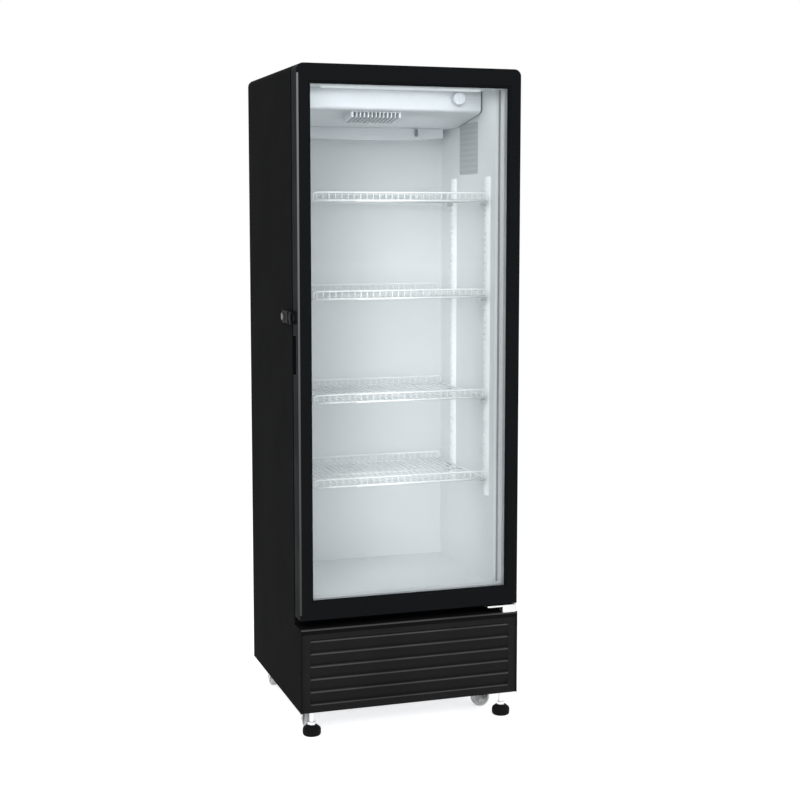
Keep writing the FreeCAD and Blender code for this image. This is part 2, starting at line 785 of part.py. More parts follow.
def evaporator_housing():
    outer = side_prism(housing_outline(0, housing_front, in_top), -housing_half_w, housing_half_w)
    inner = side_prism(housing_outline(housing_t, housing_front + housing_t, in_top + 1),
                       -housing_half_w + housing_t, housing_half_w - housing_t)
    spindle = rod(stem_r + running, Vec(knob_x, housing_front - 1, knob_z),
                  Vec(knob_x, housing_front + knob_t, knob_z))
    mouth = block(outlet_mid_x - outlet_half_w + outlet_rim, outlet_mid_x + outlet_half_w - outlet_rim,
                  outlet_front + outlet_rim, outlet_back - outlet_rim, slope_low - 1, housing_low + 2 * housing_t)
    return outer.cut(inner).cut(spindle).cut(mouth)


def outlet_grille():
    """Finned outlet that hangs under the slope; its front and underside are open between the fins."""
    x0 = outlet_mid_x - outlet_half_w
    x1 = outlet_mid_x + outlet_half_w
    front_z = outlet_plane(outlet_front)
    back_z = outlet_plane(outlet_back)
    outline = [(outlet_front, front_z), (outlet_front, front_z - outlet_t),
               (outlet_back, back_z - outlet_t), (outlet_back, back_z)]
    frame = side_prism(outline, x0, x1)
    pitch = (x1 - x0 - 2 * outlet_rim) / outlet_fins
    gaps = []
    for n in range(outlet_fins):
        left = x0 + outlet_rim + n * pitch + fin_t / 2
        right = left + pitch - fin_t
        gaps.append(block(left, right, outlet_front - 1, outlet_back - 2 * outlet_rim,
                          slope_low - 2 * outlet_t, front_z - outlet_rim / 2))
        gaps.append(block(left, right, outlet_front + 2 * outlet_rim, outlet_back - 2 * outlet_rim,
                          slope_low - 2 * outlet_t, housing_low))
    return frame.cut(Part.makeCompound(gaps))


def evaporator_coil():
    low = slope_low + housing_t + fit
    body = block(-coil_half_w, coil_half_w, coil_front, coil_back, low, low + coil_h)
    pitch = 2 * coil_half_w / coil_fins
    gaps = []
    for n in range(coil_fins):
        x = -coil_half_w + (n + 0.5) * pitch
        gaps.append(block(x - pitch * fin_share, x + pitch * fin_share, coil_front - 1, coil_back - coil_spine,
                          low - 1, low + coil_h + 1))
    return body.cut(Part.makeCompound(gaps))


def drip_tray():
    """Shallow tray against the back wall; its underside sags towards the middle."""
    half = housing_half_w - tray_side_gap
    top = slope_low - fit
    low = top - tray_h + tray_sag
    y0 = tray_front
    points = [Vec(-half, y0, top), Vec(-half, y0, low), Vec(0, y0, low - tray_sag), Vec(half, y0, low),
              Vec(half, y0, top)]
    loop = Part.Wire([Part.LineSegment(points[0], points[1]).toShape(),
                      Part.Arc(points[1], points[2], points[3]).toShape(),
                      Part.LineSegment(points[3], points[4]).toShape(),
                      Part.LineSegment(points[4], points[0]).toShape()])
    body = Part.Face(loop).extrude(Vec(0, in_back - y0, 0))
    hollow = block(-half + housing_t, half - housing_t, y0 + housing_t, in_back - housing_t,
                   low + housing_t, top + 1)
    return body.cut(hollow)


def blower(radius, blades, centre, axis):
    """Fan wheel: pitched blades on a hub with a shaft bore, turning about an axis."""
    thick = hub_t
    depth = thick - 2 * blade_t
    pieces = [Part.makeCylinder(hub_r, thick, Vec(0, 0, 0))]
    for n in range(blades):
        blade = block(hub_r - shaft_r, radius, -radius * fin_share, radius * fin_share, -blade_t / 2, blade_t / 2)
        blade.rotate(Vec(0, 0, 0), Vec(1, 0, 0), blade_twist)
        blade.translate(Vec(0, 0, thick / 2))
        slab = Part.makeCylinder(radius, depth, Vec(0, 0, (thick - depth) / 2))
        pieces.append(turned(blade.common(slab), Vec(0, 0, 0), Vec(0, 0, 1), n * 360.0 / blades))
    wheel = fuse(pieces).cut(Part.makeCylinder(shaft_r + running, 3 * thick, Vec(0, 0, -thick)))
    wheel.Placement = FreeCAD.Placement(centre, FreeCAD.Rotation(Vec(0, 0, 1), axis))
    return wheel


def evaporator_fan():
    return blower(evap_fan_r, evap_blades, Vec(outlet_mid_x, outlet_mid_y, evap_fan_low), Vec(0, 0, 1))


def evaporator_fan_motor():
    """Motor under a foot on the ceiling, with its shaft down through the fan's hub."""
    low = evap_fan_low + hub_t + hub_gap
    x, y = outlet_mid_x, outlet_mid_y
    body = Part.makeCylinder(evap_motor_r, in_top - low, Vec(x, y, low))
    shaft = Part.makeCylinder(shaft_r, low - evap_fan_low + 1, Vec(x, y, evap_fan_low))
    foot = block(x - motor_foot_l / 2, x + motor_foot_l / 2, y - motor_foot_w / 2, y + motor_foot_w / 2,
                 in_top - motor_foot_t, in_top)
    return fuse([body, shaft, foot])


def thermostat_knob():
    face = housing_front - fit
    front = face - knob_t
    body = rod(knob_r, Vec(knob_x, front, knob_z), Vec(knob_x, face, knob_z))
    rim = [e for e in body.Edges if abs(e.CenterOfMass.y - front) < knob_round / 10 and e.Closed]
    body = body.makeFillet(knob_round, rim)
    grip_reach = knob_r - knob_round
    grip = block(knob_x - grip_w / 2, knob_x + grip_w / 2, front - grip_t, front + knob_round,
                 knob_z - grip_reach, knob_z + grip_reach)
    stem = rod(stem_r, Vec(knob_x, face - 1, knob_z), Vec(knob_x, housing_front + knob_t / 2, knob_z))
    return fuse([body, grip, stem])


def interior_lamp():
    y0 = cab_front + lamp_front_gap
    lamp = block(-lamp_half_w, lamp_half_w, y0, y0 + lamp_d, in_top - lamp_t, in_top)
    lower = [e for e in vertical_edges(lamp, Vec(1, 0, 0)) if e.CenterOfMass.z < in_top - lamp_t / 2]
    return lamp.makeFillet(lamp_t / 3, lower)


# ---------------------------------------------------------------- machine compartment
def compressor_feet():
    return [(compressor_x + i * mount_spread, compressor_y + j * mount_spread)
            for i in (-1, 1) for j in (-1, 1)]


def compressor():
    low = compressor_low
    x, y = compressor_x, compressor_y
    side = mount_spread + mount_r
    plate = block(x - side, x + side, y - side, y + side, low, low + compressor_plate_t)
    can = Part.makeCylinder(compressor_r, compressor_h, Vec(x, y, low + 1))
    rim = [e for e in can.Edges if e.Closed and e.CenterOfMass.z > low + compressor_plate_t]
    can = can.makeFillet(compressor_r / 2, rim)
    cover = block(x - terminal_w / 2, x + terminal_w / 2, y - compressor_r - terminal_proud, y,
                  low + terminal_rise, low + terminal_rise + terminal_h)
    return fuse([plate, can, cover])


def compressor_mounts():
    return Part.makeCompound([Part.makeCylinder(mount_r, mount_h, Vec(x, y, pan_top))
                              for x, y in compressor_feet()])


def condenser():
    body = block(condenser_left, condenser_right, condenser_front, condenser_back, pan_top, condenser_top)
    pitch = condenser_w / condenser_fins
    gaps = []
    for n in range(condenser_fins):
        x = condenser_left + (n + 0.5) * pitch
        gaps.append(block(x - pitch * fin_share, x + pitch * fin_share, condenser_front - 1,
                          condenser_back - condenser_spine, pan_top + condenser_rim, condenser_top - condenser_rim))
    return body.cut(Part.makeCompound(gaps))


def condenser_shroud():
    """Box from the condenser to the fan, with the fan motor on its cross bracket."""
    x0 = condenser_left + shroud_inset
    x1 = condenser_right - shroud_inset
    x = condenser_mid_x
    box = block(x0, x1, condenser_back, shroud_back, pan_top, condenser_top)
    hollow = block(x0 + shroud_t, x1 - shroud_t, condenser_back - 1, shroud_back - shroud_t,
                   pan_top + shroud_t, condenser_top - shroud_t)
    ring = rod(fan_r + fan_ring_gap, Vec(x, condenser_back - 1, fan_z), Vec(x, shroud_back + 1, fan_z))
    box = box.cut(hollow).cut(ring)
    motor = rod(motor_r, Vec(x, motor_front, fan_z), Vec(x, motor_front + motor_len, fan_z))
    shaft = rod(shaft_r, Vec(x, motor_front - hub_gap - hub_t, fan_z), Vec(x, motor_front + 1, fan_z))
    arm_y = motor_front + arm_t
    arms = [block(x0, x1, arm_y, arm_y + arm_t, fan_z - arm_h / 2, fan_z + arm_h / 2)]
    for left in (x0, x1 - arm_t):
        arms.append(block(left, left + arm_t, shroud_back - shroud_t, arm_y + arm_t,
                          fan_z - arm_h / 2, fan_z + arm_h / 2))
    return fuse([box, motor, shaft] + arms)


def condenser_fan():
    start = motor_front - hub_gap - hub_t
    return blower(fan_r, fan_blades, Vec(condenser_mid_x, start, fan_z), Vec(0, 1, 0))


def evaporating_tray():
    x0 = condenser_mid_x - pan_w / 2
    y1 = cab_back - pan_rear
    y0 = y1 - pan_d
    body = block(x0, x0 + pan_w, y0, y1, pan_top, pan_top + pan_h)
    return body.cut(block(x0 + pan_wall, x0 + pan_w - pan_wall, y0 + pan_wall, y1 - pan_wall,
                          pan_top + pan_wall, pan_top + pan_h + 1))


def bent_tube(points, radius):
    """Round tube along straight runs with ball-filled corners."""
    pieces = []
    for start, end in zip(points, points[1:]):
        pieces.append(rod(radius, start, end))
    for corner in points[1:-1]:
        pieces.append(Part.makeSphere(radius, corner))
    return fuse(pieces)


def refrigerant_lines():
    """Discharge line to the condenser with its filter drier, and suction line up behind the interior."""
    can = compressor_x + compressor_r + fit
    y = compressor_y
    y_mid = (condenser_front + condenser_back) / 2
    z = compressor_low + discharge_rise
    turn = can + discharge_run
    discharge = bent_tube([Vec(can, y, z), Vec(turn, y, z), Vec(turn, y_mid, z),
                           Vec(condenser_left - fit, y_mid, z)], line_r)
    drier_y = y_mid + drier_back
    drier = rod(drier_r, Vec(turn, drier_y, z), Vec(turn, drier_y + drier_l, z))
    z = compressor_low + suction_rise
    turn = can + suction_run
    riser_y = in_back + suction_behind
    suction = bent_tube([Vec(can, y, z), Vec(turn, y, z), Vec(turn, riser_y, z),
                         Vec(turn, riser_y, z_deck - chassis_t)], line_r)
    return Part.makeCompound([fuse([discharge, drier]), suction])


def inlet_place():
    """Left edge and lower edge of the terminal box."""
    return -half_w + skin_t, pan_top


def supply_inlet():
    """Terminal box on the base pan, with the supply gland on its inner end."""
    x0, low = inlet_place()
    y1 = cab_back - skin_t
    box = block(x0, x0 + inlet_w, y1 - inlet_d, y1, low, low + inlet_h)
    centre = Vec(x0 + inlet_w - 1, y1 - inlet_d / 2, low + inlet_h / 2)
    gland = rod(gland_r, centre, centre + Vec(gland_proud + 1, 0, 0))
    bore = rod(gland_r / 2, centre + Vec(1, 0, 0), centre + Vec(gland_proud + 2, 0, 0))
    return fuse([box, gland]).cut(bore)


# ---------------------------------------------------------------- casters and feet
def wheel(centre, axis):
    """Tyred wheel with rounded shoulders and an axle bore."""
    start = centre - axis * (wheel_w / 2)
    body = rod(wheel_r, start, start + axis * wheel_w)
    rims = [e for e in body.Edges if e.Closed and e.Curve.TypeId == "Part::GeomCircle"]
    body = body.makeFillet(tyre_round, rims)
    return body.cut(rod(axle_r + running, start - axis, start + axis * (wheel_w + 1)))


def fork(top):
    """Fork for a wheel, swivel axis through the origin, axle along x and trailing along +y."""
    cheek = wheel_w / 2 + fork_gap
    outer = cheek + fork_t
    outline = [(caster_trail - fork_ear, wheel_r - fork_ear), (caster_trail + fork_ear, wheel_r - fork_ear),
               (caster_trail + fork_ear, wheel_r + fork_ear), (fork_half_l, top), (-fork_half_l, top)]
    end = outer + axle_proud
    pieces = [side_prism(outline, cheek, outer), side_prism(outline, -outer, -cheek),
              block(-outer, outer, -fork_half_l, fork_half_l, top - fork_t, top),
              rod(axle_r, Vec(-end, caster_trail, wheel_r), Vec(end, caster_trail, wheel_r))]
    return fuse(pieces)


front_turn = {"left": 180, "right": 90}


def fork_place(side):
    """Swivel point and turn of a front caster: the left one trails forwards, the right one inwards."""
    sign = -1 if side == "left" else 1
    return Vec(sign * caster_x, caster_front, 0), front_turn[side]


def front_fork(side):
    base, turn = fork_place(side)
    body = fork(fork_top)
    kingpin = Part.makeCylinder(kingpin_r, z_base - fork_top - fit, Vec(0, 0, fork_top - 1))
    shape = turned(fuse([body, kingpin]), Vec(0, 0, 0), Vec(0, 0, 1), turn)
    return moved(shape, base.x, base.y, 0)


def front_wheel(side):
    base, turn = fork_place(side)
    shape = wheel(Vec(0, caster_trail, wheel_r), Vec(1, 0, 0))
    return moved(turned(shape, Vec(0, 0, 0), Vec(0, 0, 1), turn), base.x, base.y, 0)


def front_caster_plates():
    shapes = []
    for side in (-1, 1):
        x, y = side * caster_x, caster_front
        half = plate_side / 2
        plate = block(x - half, x + half, y - half, y + half, z_base - plate_t, z_base)
        shapes.append(plate.cut(Part.makeCylinder(kingpin_r + running, 3 * plate_t, Vec(x, y, z_base - 2 * plate_t))))
    return Part.makeCompound(shapes)


def rear_caster_brackets():
    """Fixed casters: plate and fork in one pressing, with the axle."""
    shapes = []
    for side in (-1, 1):
        x, y = side * caster_x, caster_rear
        half = plate_side / 2
        plate = block(x - half, x + half, y - half, y + half, z_base - plate_t, z_base)
        body = moved(fork(z_base - plate_t + 1), x, y - caster_trail, 0)
        shapes.append(fuse([plate, body]))
    return Part.makeCompound(shapes)


def rear_wheel(side):
    sign = -1 if side == "left" else 1
    return wheel(Vec(sign * caster_x, caster_rear, wheel_r), Vec(1, 0, 0))


def foot_stud(side):
    sign = -1 if side == "left" else 1
    base = Vec(sign * foot_x, foot_y, foot_rest_gap + foot_h / 2)
    stud = Part.makeCylinder(stud_r, z_base + stud_top - base.z, base)
    nut_z = foot_rest_gap + foot_h + 1
    corners = [math.radians(60 * n) for n in range(6)]
    points = [Vec(base.x + nut_r * math.cos(a), base.y + nut_r * math.sin(a), nut_z) for a in corners]
    return fuse([stud, prism(points, Vec(0, 0, nut_h))])


def foot_pad(side):
    sign = -1 if side == "left" else 1
    base = Vec(sign * foot_x, foot_y, foot_rest_gap)
    skirt = Part.makeCylinder(foot_r, foot_h * 0.4, base)
    cone = Part.makeCone(foot_r, foot_r * 0.55, foot_h * 0.6, base + Vec(0, 0, foot_h * 0.4))
    socket = Part.makeCylinder(stud_r + running, foot_h, base + Vec(0, 0, foot_h / 2 - fit))
    return fuse([skirt, cone]).cut(socket)


# ---------------------------------------------------------------- write every sub-part
single_parts = (outer_wrap, back_panel, front_frame, insulation, inner_liner, compartment_deck, base_skirts,
                base_pan, front_grille, rear_guard, glazing_spacer, door_inner_frame, door_gasket,
                handle_insert, hinge_brackets, hinge_bushes, lock_housing, lock_bolt, lock_barrel,
                lock_keeper, pilasters, shelf_clips, evaporator_housing, outlet_grille, evaporator_coil,
                drip_tray, evaporator_fan, evaporator_fan_motor, thermostat_knob, interior_lamp,
                compressor, compressor_mounts, condenser, condenser_shroud, condenser_fan,
                evaporating_tray, refrigerant_lines, supply_inlet, front_caster_plates,
                rear_caster_brackets)

for make in single_parts:
    save(make.__name__, make())

for name, shape in door_profiles().items():
    save(name, shape)

save("outer_glass", pane(lip_t))
save("inner_glass", pane(lip_t + pane_t + pane_gap))

first_shelf = shelf(shelf_deck(shelf_slots[0]))
for number, slot in enumerate(shelf_slots, 1):
    rise = shelf_deck(slot) - shelf_deck(shelf_slots[0])
    save("shelf_%d" % number, moved(first_shelf, 0, 0, rise))

for side in ("left", "right"):
    save("front_caster_fork_" + side, front_fork(side))
    save("front_caster_wheel_" + side, front_wheel(side))
    save("rear_caster_wheel_" + side, rear_wheel(side))
    save("foot_stud_" + side, foot_stud(side))
    save("foot_pad_" + side, foot_pad(side))
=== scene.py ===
"""Looks of the upright glass-door merchandiser: materials, fine pieces, light and camera.

Lengths in the helpers are millimetres from the cabinet's mid-plane (x), the door's front face (y) and
the floor (z).  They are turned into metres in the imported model's frame by at().
"""
import bpy
import bmesh
import json
import math
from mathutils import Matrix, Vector


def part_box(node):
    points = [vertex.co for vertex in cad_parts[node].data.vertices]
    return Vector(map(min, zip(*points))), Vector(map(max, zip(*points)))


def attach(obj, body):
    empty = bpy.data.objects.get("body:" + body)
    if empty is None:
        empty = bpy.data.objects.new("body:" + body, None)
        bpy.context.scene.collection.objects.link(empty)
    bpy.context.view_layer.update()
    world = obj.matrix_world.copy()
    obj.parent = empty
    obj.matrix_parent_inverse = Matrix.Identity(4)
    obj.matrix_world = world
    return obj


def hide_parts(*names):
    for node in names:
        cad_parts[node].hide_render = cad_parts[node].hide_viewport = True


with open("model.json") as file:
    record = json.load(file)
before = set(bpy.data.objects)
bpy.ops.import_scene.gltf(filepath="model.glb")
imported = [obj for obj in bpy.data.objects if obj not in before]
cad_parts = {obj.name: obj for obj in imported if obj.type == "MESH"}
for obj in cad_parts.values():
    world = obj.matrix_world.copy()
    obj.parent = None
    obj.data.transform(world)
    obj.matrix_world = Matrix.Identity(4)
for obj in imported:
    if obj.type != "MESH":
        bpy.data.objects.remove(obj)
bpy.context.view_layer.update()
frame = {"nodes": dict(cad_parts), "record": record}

nodes = frame["nodes"]

# ---------------------------------------------------------------- places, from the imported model
wrap_low, wrap_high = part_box("outer_wrap")
rail_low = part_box("top_rail")[0]
MID = (wrap_low.x + wrap_high.x) / 2
FRONT = rail_low.y


def at(x, y, z):
    """Metres in the model's frame for a place in working millimetres."""
    return Vector((MID + x / 1000, FRONT + y / 1000, z / 1000))


def span(node):
    """A node's box in working millimetres: low and high corners."""
    low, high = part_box(node)
    turn = lambda p: Vector(((p.x - MID) * 1000, (p.y - FRONT) * 1000, p.z * 1000))
    return turn(low), turn(high)


# ---------------------------------------------------------------- materials
def node_of(tree, kind, **values):
    node = tree.nodes.new(kind)
    for key, value in values.items():
        if key in node.inputs:
            node.inputs[key].default_value = value
        else:
            setattr(node, key, value)
    return node


def new_material(name):
    mat = bpy.data.materials.new(name)
    mat.use_nodes = True
    tree = mat.node_tree
    tree.nodes.clear()
    out = tree.nodes.new("ShaderNodeOutputMaterial")
    shader = tree.nodes.new("ShaderNodeBsdfPrincipled")
    tree.links.new(shader.outputs[0], out.inputs[0])
    return mat, tree, shader, out


def pattern(tree, scale, stretch=(1, 1, 1), detail=3.0, rough=0.5, kind="ShaderNodeTexNoise"):
    """A noise in the piece's own coordinates, stretched along the axes."""
    place = tree.nodes.new("ShaderNodeTexCoord")
    mapping = tree.nodes.new("ShaderNodeMapping")
    mapping.inputs["Scale"].default_value = stretch
    tree.links.new(place.outputs["Object"], mapping.inputs["Vector"])
    tex = tree.nodes.new(kind)
    tex.inputs["Scale"].default_value = scale
    if kind == "ShaderNodeTexNoise":
        tex.inputs["Detail"].default_value = detail
        tex.inputs["Roughness"].default_value = rough
    tree.links.new(mapping.outputs[0], tex.inputs["Vector"])
    return tex


def ramp(tree, source, low, high, start, end):
    """Values between two ends as the source runs from start to end."""
    node = tree.nodes.new("ShaderNodeMapRange")
    node.inputs["From Min"].default_value = start
    node.inputs["From Max"].default_value = end
    node.inputs["To Min"].default_value = low
    node.inputs["To Max"].default_value = high
    tree.links.new(source, node.inputs["Value"])
    return node.outputs[0]


def tint(tree, source, first, second, start=0.35, end=0.65):
    """A colour between two, led by the source."""
    node = tree.nodes.new("ShaderNodeValToRGB")
    node.color_ramp.elements[0].position = start
    node.color_ramp.elements[1].position = end
    node.color_ramp.elements[0].color = (*first, 1)
    node.color_ramp.elements[1].color = (*second, 1)
    tree.links.new(source, node.inputs[0])
    return node.outputs[0]


def shaded(colour, factor):
    return tuple(c * factor for c in colour)


def bump(tree, shader, source, strength, distance, below=None):
    node = tree.nodes.new("ShaderNodeBump")
    node.inputs["Strength"].default_value = strength
    node.inputs["Distance"].default_value = distance
    tree.links.new(source, node.inputs["Height"])
    if below is not None:
        tree.links.new(below, node.inputs["Normal"])
    tree.links.new(node.outputs[0], shader.inputs["Normal"])
    return node.outputs[0]


def finish(name, colour, rough, grain, depth, metal=0.0, gloss=0.5, spread=0.06, cloud=4.0,
           stretch=(1, 1, 1), coat=0.0, fine_detail=3.0, rough_spread=0.06):
    """A worked surface: slow colour drift, uneven roughness and a fine relief of the grain's size."""
    mat, tree, shader, out = new_material(name)
    drift = pattern(tree, cloud, detail=4.0)
    tree.links.new(tint(tree, drift.outputs[0], shaded(colour, 1 - spread), shaded(colour, 1 + spread)),
                   shader.inputs["Base Color"])
    fine = pattern(tree, grain, stretch, fine_detail)
    wear = pattern(tree, cloud * 3.1, stretch, 5.0, 0.65)
    tree.links.new(ramp(tree, wear.outputs[0], rough - rough_spread, rough + rough_spread, 0.3, 0.7),
                   shader.inputs["Roughness"])
    bump(tree, shader, fine.outputs[0], 0.5, depth)
    shader.inputs["Metallic"].default_value = metal
    shader.inputs["Specular IOR Level"].default_value = gloss
    shader.inputs["Coat Weight"].default_value = coat
    return mat


def spangled(name, colour, rough):
    """Zinc-coated sheet with its crystal pattern."""
    mat, tree, shader, out = new_material(name)
    cells = pattern(tree, 95.0, kind="ShaderNodeTexVoronoi")
    fine = pattern(tree, 600.0)
    grey = tree.nodes.new("ShaderNodeSeparateColor")
    tree.links.new(cells.outputs["Color"], grey.inputs[0])
    tree.links.new(tint(tree, grey.outputs[0], shaded(colour, 0.82), shaded(colour, 1.1), 0.1, 0.9),
                   shader.inputs["Base Color"])
    tree.links.new(ramp(tree, grey.outputs[1], rough - 0.08, rough + 0.12, 0, 1), shader.inputs["Roughness"])
    bump(tree, shader, fine.outputs[0], 0.35, 0.00012)
    shader.inputs["Metallic"].default_value = 0.9
    return mat


def clear_glass(name, colour):
    """Flat pane: passes light with a faint tint and mirrors at its faces."""
    mat, tree, shader, out = new_material(name)
    see = node_of(tree, "ShaderNodeBsdfTransparent", Color=(*colour, 1))
    smear = pattern(tree, 9.0, (1, 1, 0.4), 5.0)
    tree.links.new(ramp(tree, smear.outputs[0], 0.015, 0.05, 0.4, 0.75), shader.inputs["Roughness"])
    haze = pattern(tree, 3.0, (1, 1, 0.6), 3.0)
    tree.links.new(tint(tree, haze.outputs[0], (0.80, 0.86, 0.87), (0.88, 0.93, 0.94)),
                   shader.inputs["Base Color"])
    shader.inputs["Metallic"].default_value = 1.0
    slant = node_of(tree, "ShaderNodeLayerWeight", Blend=0.5)
    steep = node_of(tree, "ShaderNodeMath", operation="POWER")
    steep.inputs[1].default_value = 5.0
    share = node_of(tree, "ShaderNodeMath", operation="MULTIPLY_ADD")
    share.inputs[1].default_value = 0.6
    share.inputs[2].default_value = 0.02
    tree.links.new(slant.outputs["Facing"], steep.inputs[0])
    tree.links.new(steep.outputs[0], share.inputs[0])
    mix = tree.nodes.new("ShaderNodeMixShader")
    tree.links.new(share.outputs[0], mix.inputs[0])
    tree.links.new(see.outputs[0], mix.inputs[1])
    tree.links.new(shader.outputs[0], mix.inputs[2])
    tree.links.new(mix.outputs[0], out.inputs[0])
    return mat


def painted_highlight_graded(name, low_colour, high_colour, low_z, high_z):
    """Satin aluminium coloured brighter towards its upper end: a painted highlight that fades downwards."""
    mat, tree, shader, out = new_material(name)
    place = tree.nodes.new("ShaderNodeTexCoord")
    parts = tree.nodes.new("ShaderNodeSeparateXYZ")
    tree.links.new(place.outputs["Object"], parts.inputs[0])
    height = ramp(tree, parts.outputs["Z"], 0.0, 1.0, low_z, high_z)
    streaks = pattern(tree, 30.0, (1, 1, 0.05), 4.0)
    mixed = tree.nodes.new("ShaderNodeMath")
    mixed.operation = "MULTIPLY_ADD"
    tree.links.new(streaks.outputs[0], mixed.inputs[0])
    mixed.inputs[1].default_value = 0.12
    tree.links.new(height, mixed.inputs[2])
    tree.links.new(tint(tree, mixed.outputs[0], low_colour, high_colour, 0.05, 1.0),
                   shader.inputs["Base Color"])
    fine = pattern(tree, 1500.0)
    bump(tree, shader, fine.outputs[0], 0.4, 0.00003)
    shader.inputs["Roughness"].default_value = 0.34
    shader.inputs["Specular IOR Level"].default_value = 0.3
    return mat


def lamp_cover(name, colour, strength):
    mat, tree, shader, out = new_material(name)
    drift = pattern(tree, 40.0)
    tree.links.new(tint(tree, drift.outputs[0], shaded(colour, 0.96), colour), shader.inputs["Base Color"])
    fine = pattern(tree, 500.0, (0.15, 1, 1))
    bump(tree, shader, fine.outputs[0], 0.4, 0.0002)
    shader.inputs["Roughness"].default_value = 0.45
    shader.inputs["Emission Color"].default_value = (0.93, 0.97, 1.0, 1)
    shader.inputs["Emission Strength"].default_value = strength
    return mat


def blank_label(name, colour):
    """Plain grey sticker: soft paper with faint rules, nothing written on it."""
    mat, tree, shader, out = new_material(name)
    rules = tree.nodes.new("ShaderNodeTexWave")
    place = tree.nodes.new("ShaderNodeTexCoord")
    rules.bands_direction = "Z"
    rules.inputs["Scale"].default_value = 21.0
    rules.inputs["Distortion"].default_value = 0.0
    tree.links.new(place.outputs["Object"], rules.inputs["Vector"])
    tree.links.new(tint(tree, rules.outputs["Fac"], shaded(colour, 0.94), shaded(colour, 1.05), 0.3, 0.7),
                   shader.inputs["Base Color"])
    fibre = pattern(tree, 700.0)
    bump(tree, shader, fibre.outputs[0], 0.3, 0.0001)
    shader.inputs["Roughness"].default_value = 0.5
    return mat


M = {
    "cabinet_black": finish("cabinet_powder_coat", (0.0060, 0.0062, 0.0061), 0.6, 900.0, 0.00005, gloss=0.004,
                            spread=0.03, cloud=2.2, rough_spread=0.03),
    "door_black": finish("door_satin_black", (0.0062, 0.0069, 0.0077), 0.42, 1500.0, 0.00003, gloss=0.006,
                         spread=0.06, cloud=3.0),
    "grille_black": finish("grille_powder_coat", (0.0112, 0.0110, 0.0110), 0.5, 900.0, 0.00006, gloss=0.035,
                           spread=0.08, cloud=5.0),
    # Lighter grey for the up-facing lips of the louvres and the deck's round: a painted highlight.
    "lip_painted_highlight": finish("lip_painted_highlight_edge", (0.036, 0.035, 0.0345), 0.35, 900.0, 0.00005, gloss=0.2,
                       spread=0.25, cloud=6.0),
    # The door edge's colour runs from near black at the foot to light grey at the top: a painted highlight.
    "edge_painted_highlight": painted_highlight_graded("door_edge_painted_highlight", (0.018, 0.0185, 0.0195), (0.135, 0.138, 0.142), 0.33, 1.66),
    "clear_glass": clear_glass("door_glass", (0.985, 0.990, 0.991)),
    "spacer_grey": finish("spacer_aluminium", (0.42, 0.43, 0.44), 0.45, 800.0, 0.00005, metal=0.8),
    "inner_grey": finish("inner_frame_plastic", (0.66, 0.68, 0.69), 0.38, 500.0, 0.00005, spread=0.03),
    "gasket_grey": finish("gasket_vinyl", (0.20, 0.205, 0.21), 0.55, 700.0, 0.00012, spread=0.06),
    "liner_white": finish("liner_moulded", (0.725, 0.745, 0.76), 0.40, 160.0, 0.00001, gloss=0.4, spread=0.015,
                          cloud=2.0),
    "housing_white": finish("housing_moulded", (0.77, 0.80, 0.825), 0.33, 260.0, 0.00010, gloss=0.5,
                            spread=0.015, cloud=3.0),
    "rail_white": finish("rail_enamel", (0.93, 0.94, 0.945), 0.30, 300.0, 0.00002, gloss=0.5, spread=0.01,
                         cloud=3.0),
    "lamp_white": lamp_cover("lamp_frosted", (0.80, 0.83, 0.85), 0.22),
    "foam": finish("rigid_foam", (0.72, 0.62, 0.40), 0.85, 220.0, 0.0008, spread=0.12, cloud=9.0),
    "galvanised": spangled("galvanised_sheet", (0.50, 0.51, 0.53), 0.38),
    "zinc_bright": finish("zinc_plate", (0.66, 0.66, 0.65), 0.26, 350.0, 0.00008, metal=0.95, spread=0.06,
                          cloud=14.0),
    "chrome": finish("polished_chrome", (0.78, 0.78, 0.79), 0.12, 500.0, 0.00003, metal=1.0, spread=0.03,
                     cloud=20.0, rough_spread=0.04),
    "wire_white": finish("wire_coating", (0.80, 0.82, 0.83), 0.34, 420.0, 0.00015, spread=0.03, cloud=10.0),
    "fin_aluminium": finish("fin_aluminium", (0.62, 0.63, 0.64), 0.36, 900.0, 0.0001, metal=0.9, spread=0.08,
                            cloud=18.0, stretch=(1, 1, 0.1)),
    "copper": finish("drawn_copper", (0.66, 0.32, 0.19), 0.30, 300.0, 0.00008, metal=0.95, spread=0.16,
                     cloud=16.0),
    "compressor_black": finish("compressor_enamel", (0.014, 0.014, 0.015), 0.30, 240.0, 0.00025, gloss=0.45,
                               spread=0.15, cloud=9.0),
    "black_plastic": finish("black_plastic", (0.007, 0.007, 0.0075), 0.50, 900.0, 0.00010, gloss=0.03,
                            spread=0.1, cloud=12.0),
    "worn_barrel": finish("worn_barrel", (0.17, 0.17, 0.18), 0.42, 900.0, 0.00006, metal=0.8, spread=0.2,
                          cloud=60.0),
    "mount_rubber": finish("mount_rubber", (0.02, 0.02, 0.02), 0.7, 600.0, 0.0002, gloss=0.25, spread=0.12),
    "wheel_grey": finish("wheel_nylon", (0.52, 0.53, 0.54), 0.36, 400.0, 0.00012, spread=0.06, cloud=14.0),
    "label": blank_label("blank_label", (0.40, 0.42, 0.44)),
    # Dark grey for the strips beside the evaporator cover: painted shade.
    "gap_painted_shade": finish("gap_painted_shade_strip", (0.11, 0.12, 0.13), 0.8, 500.0, 0.0003, gloss=0.2, spread=0.1, cloud=20.0),
}

for part in frame["record"]["subparts"]:
    piece = nodes[part["node"]]
    if not piece.data.materials:
        piece.data.materials.append(None)
    for place in piece.material_slots:
        place.link = "OBJECT"
        place.material = M[part["material_slot"]]


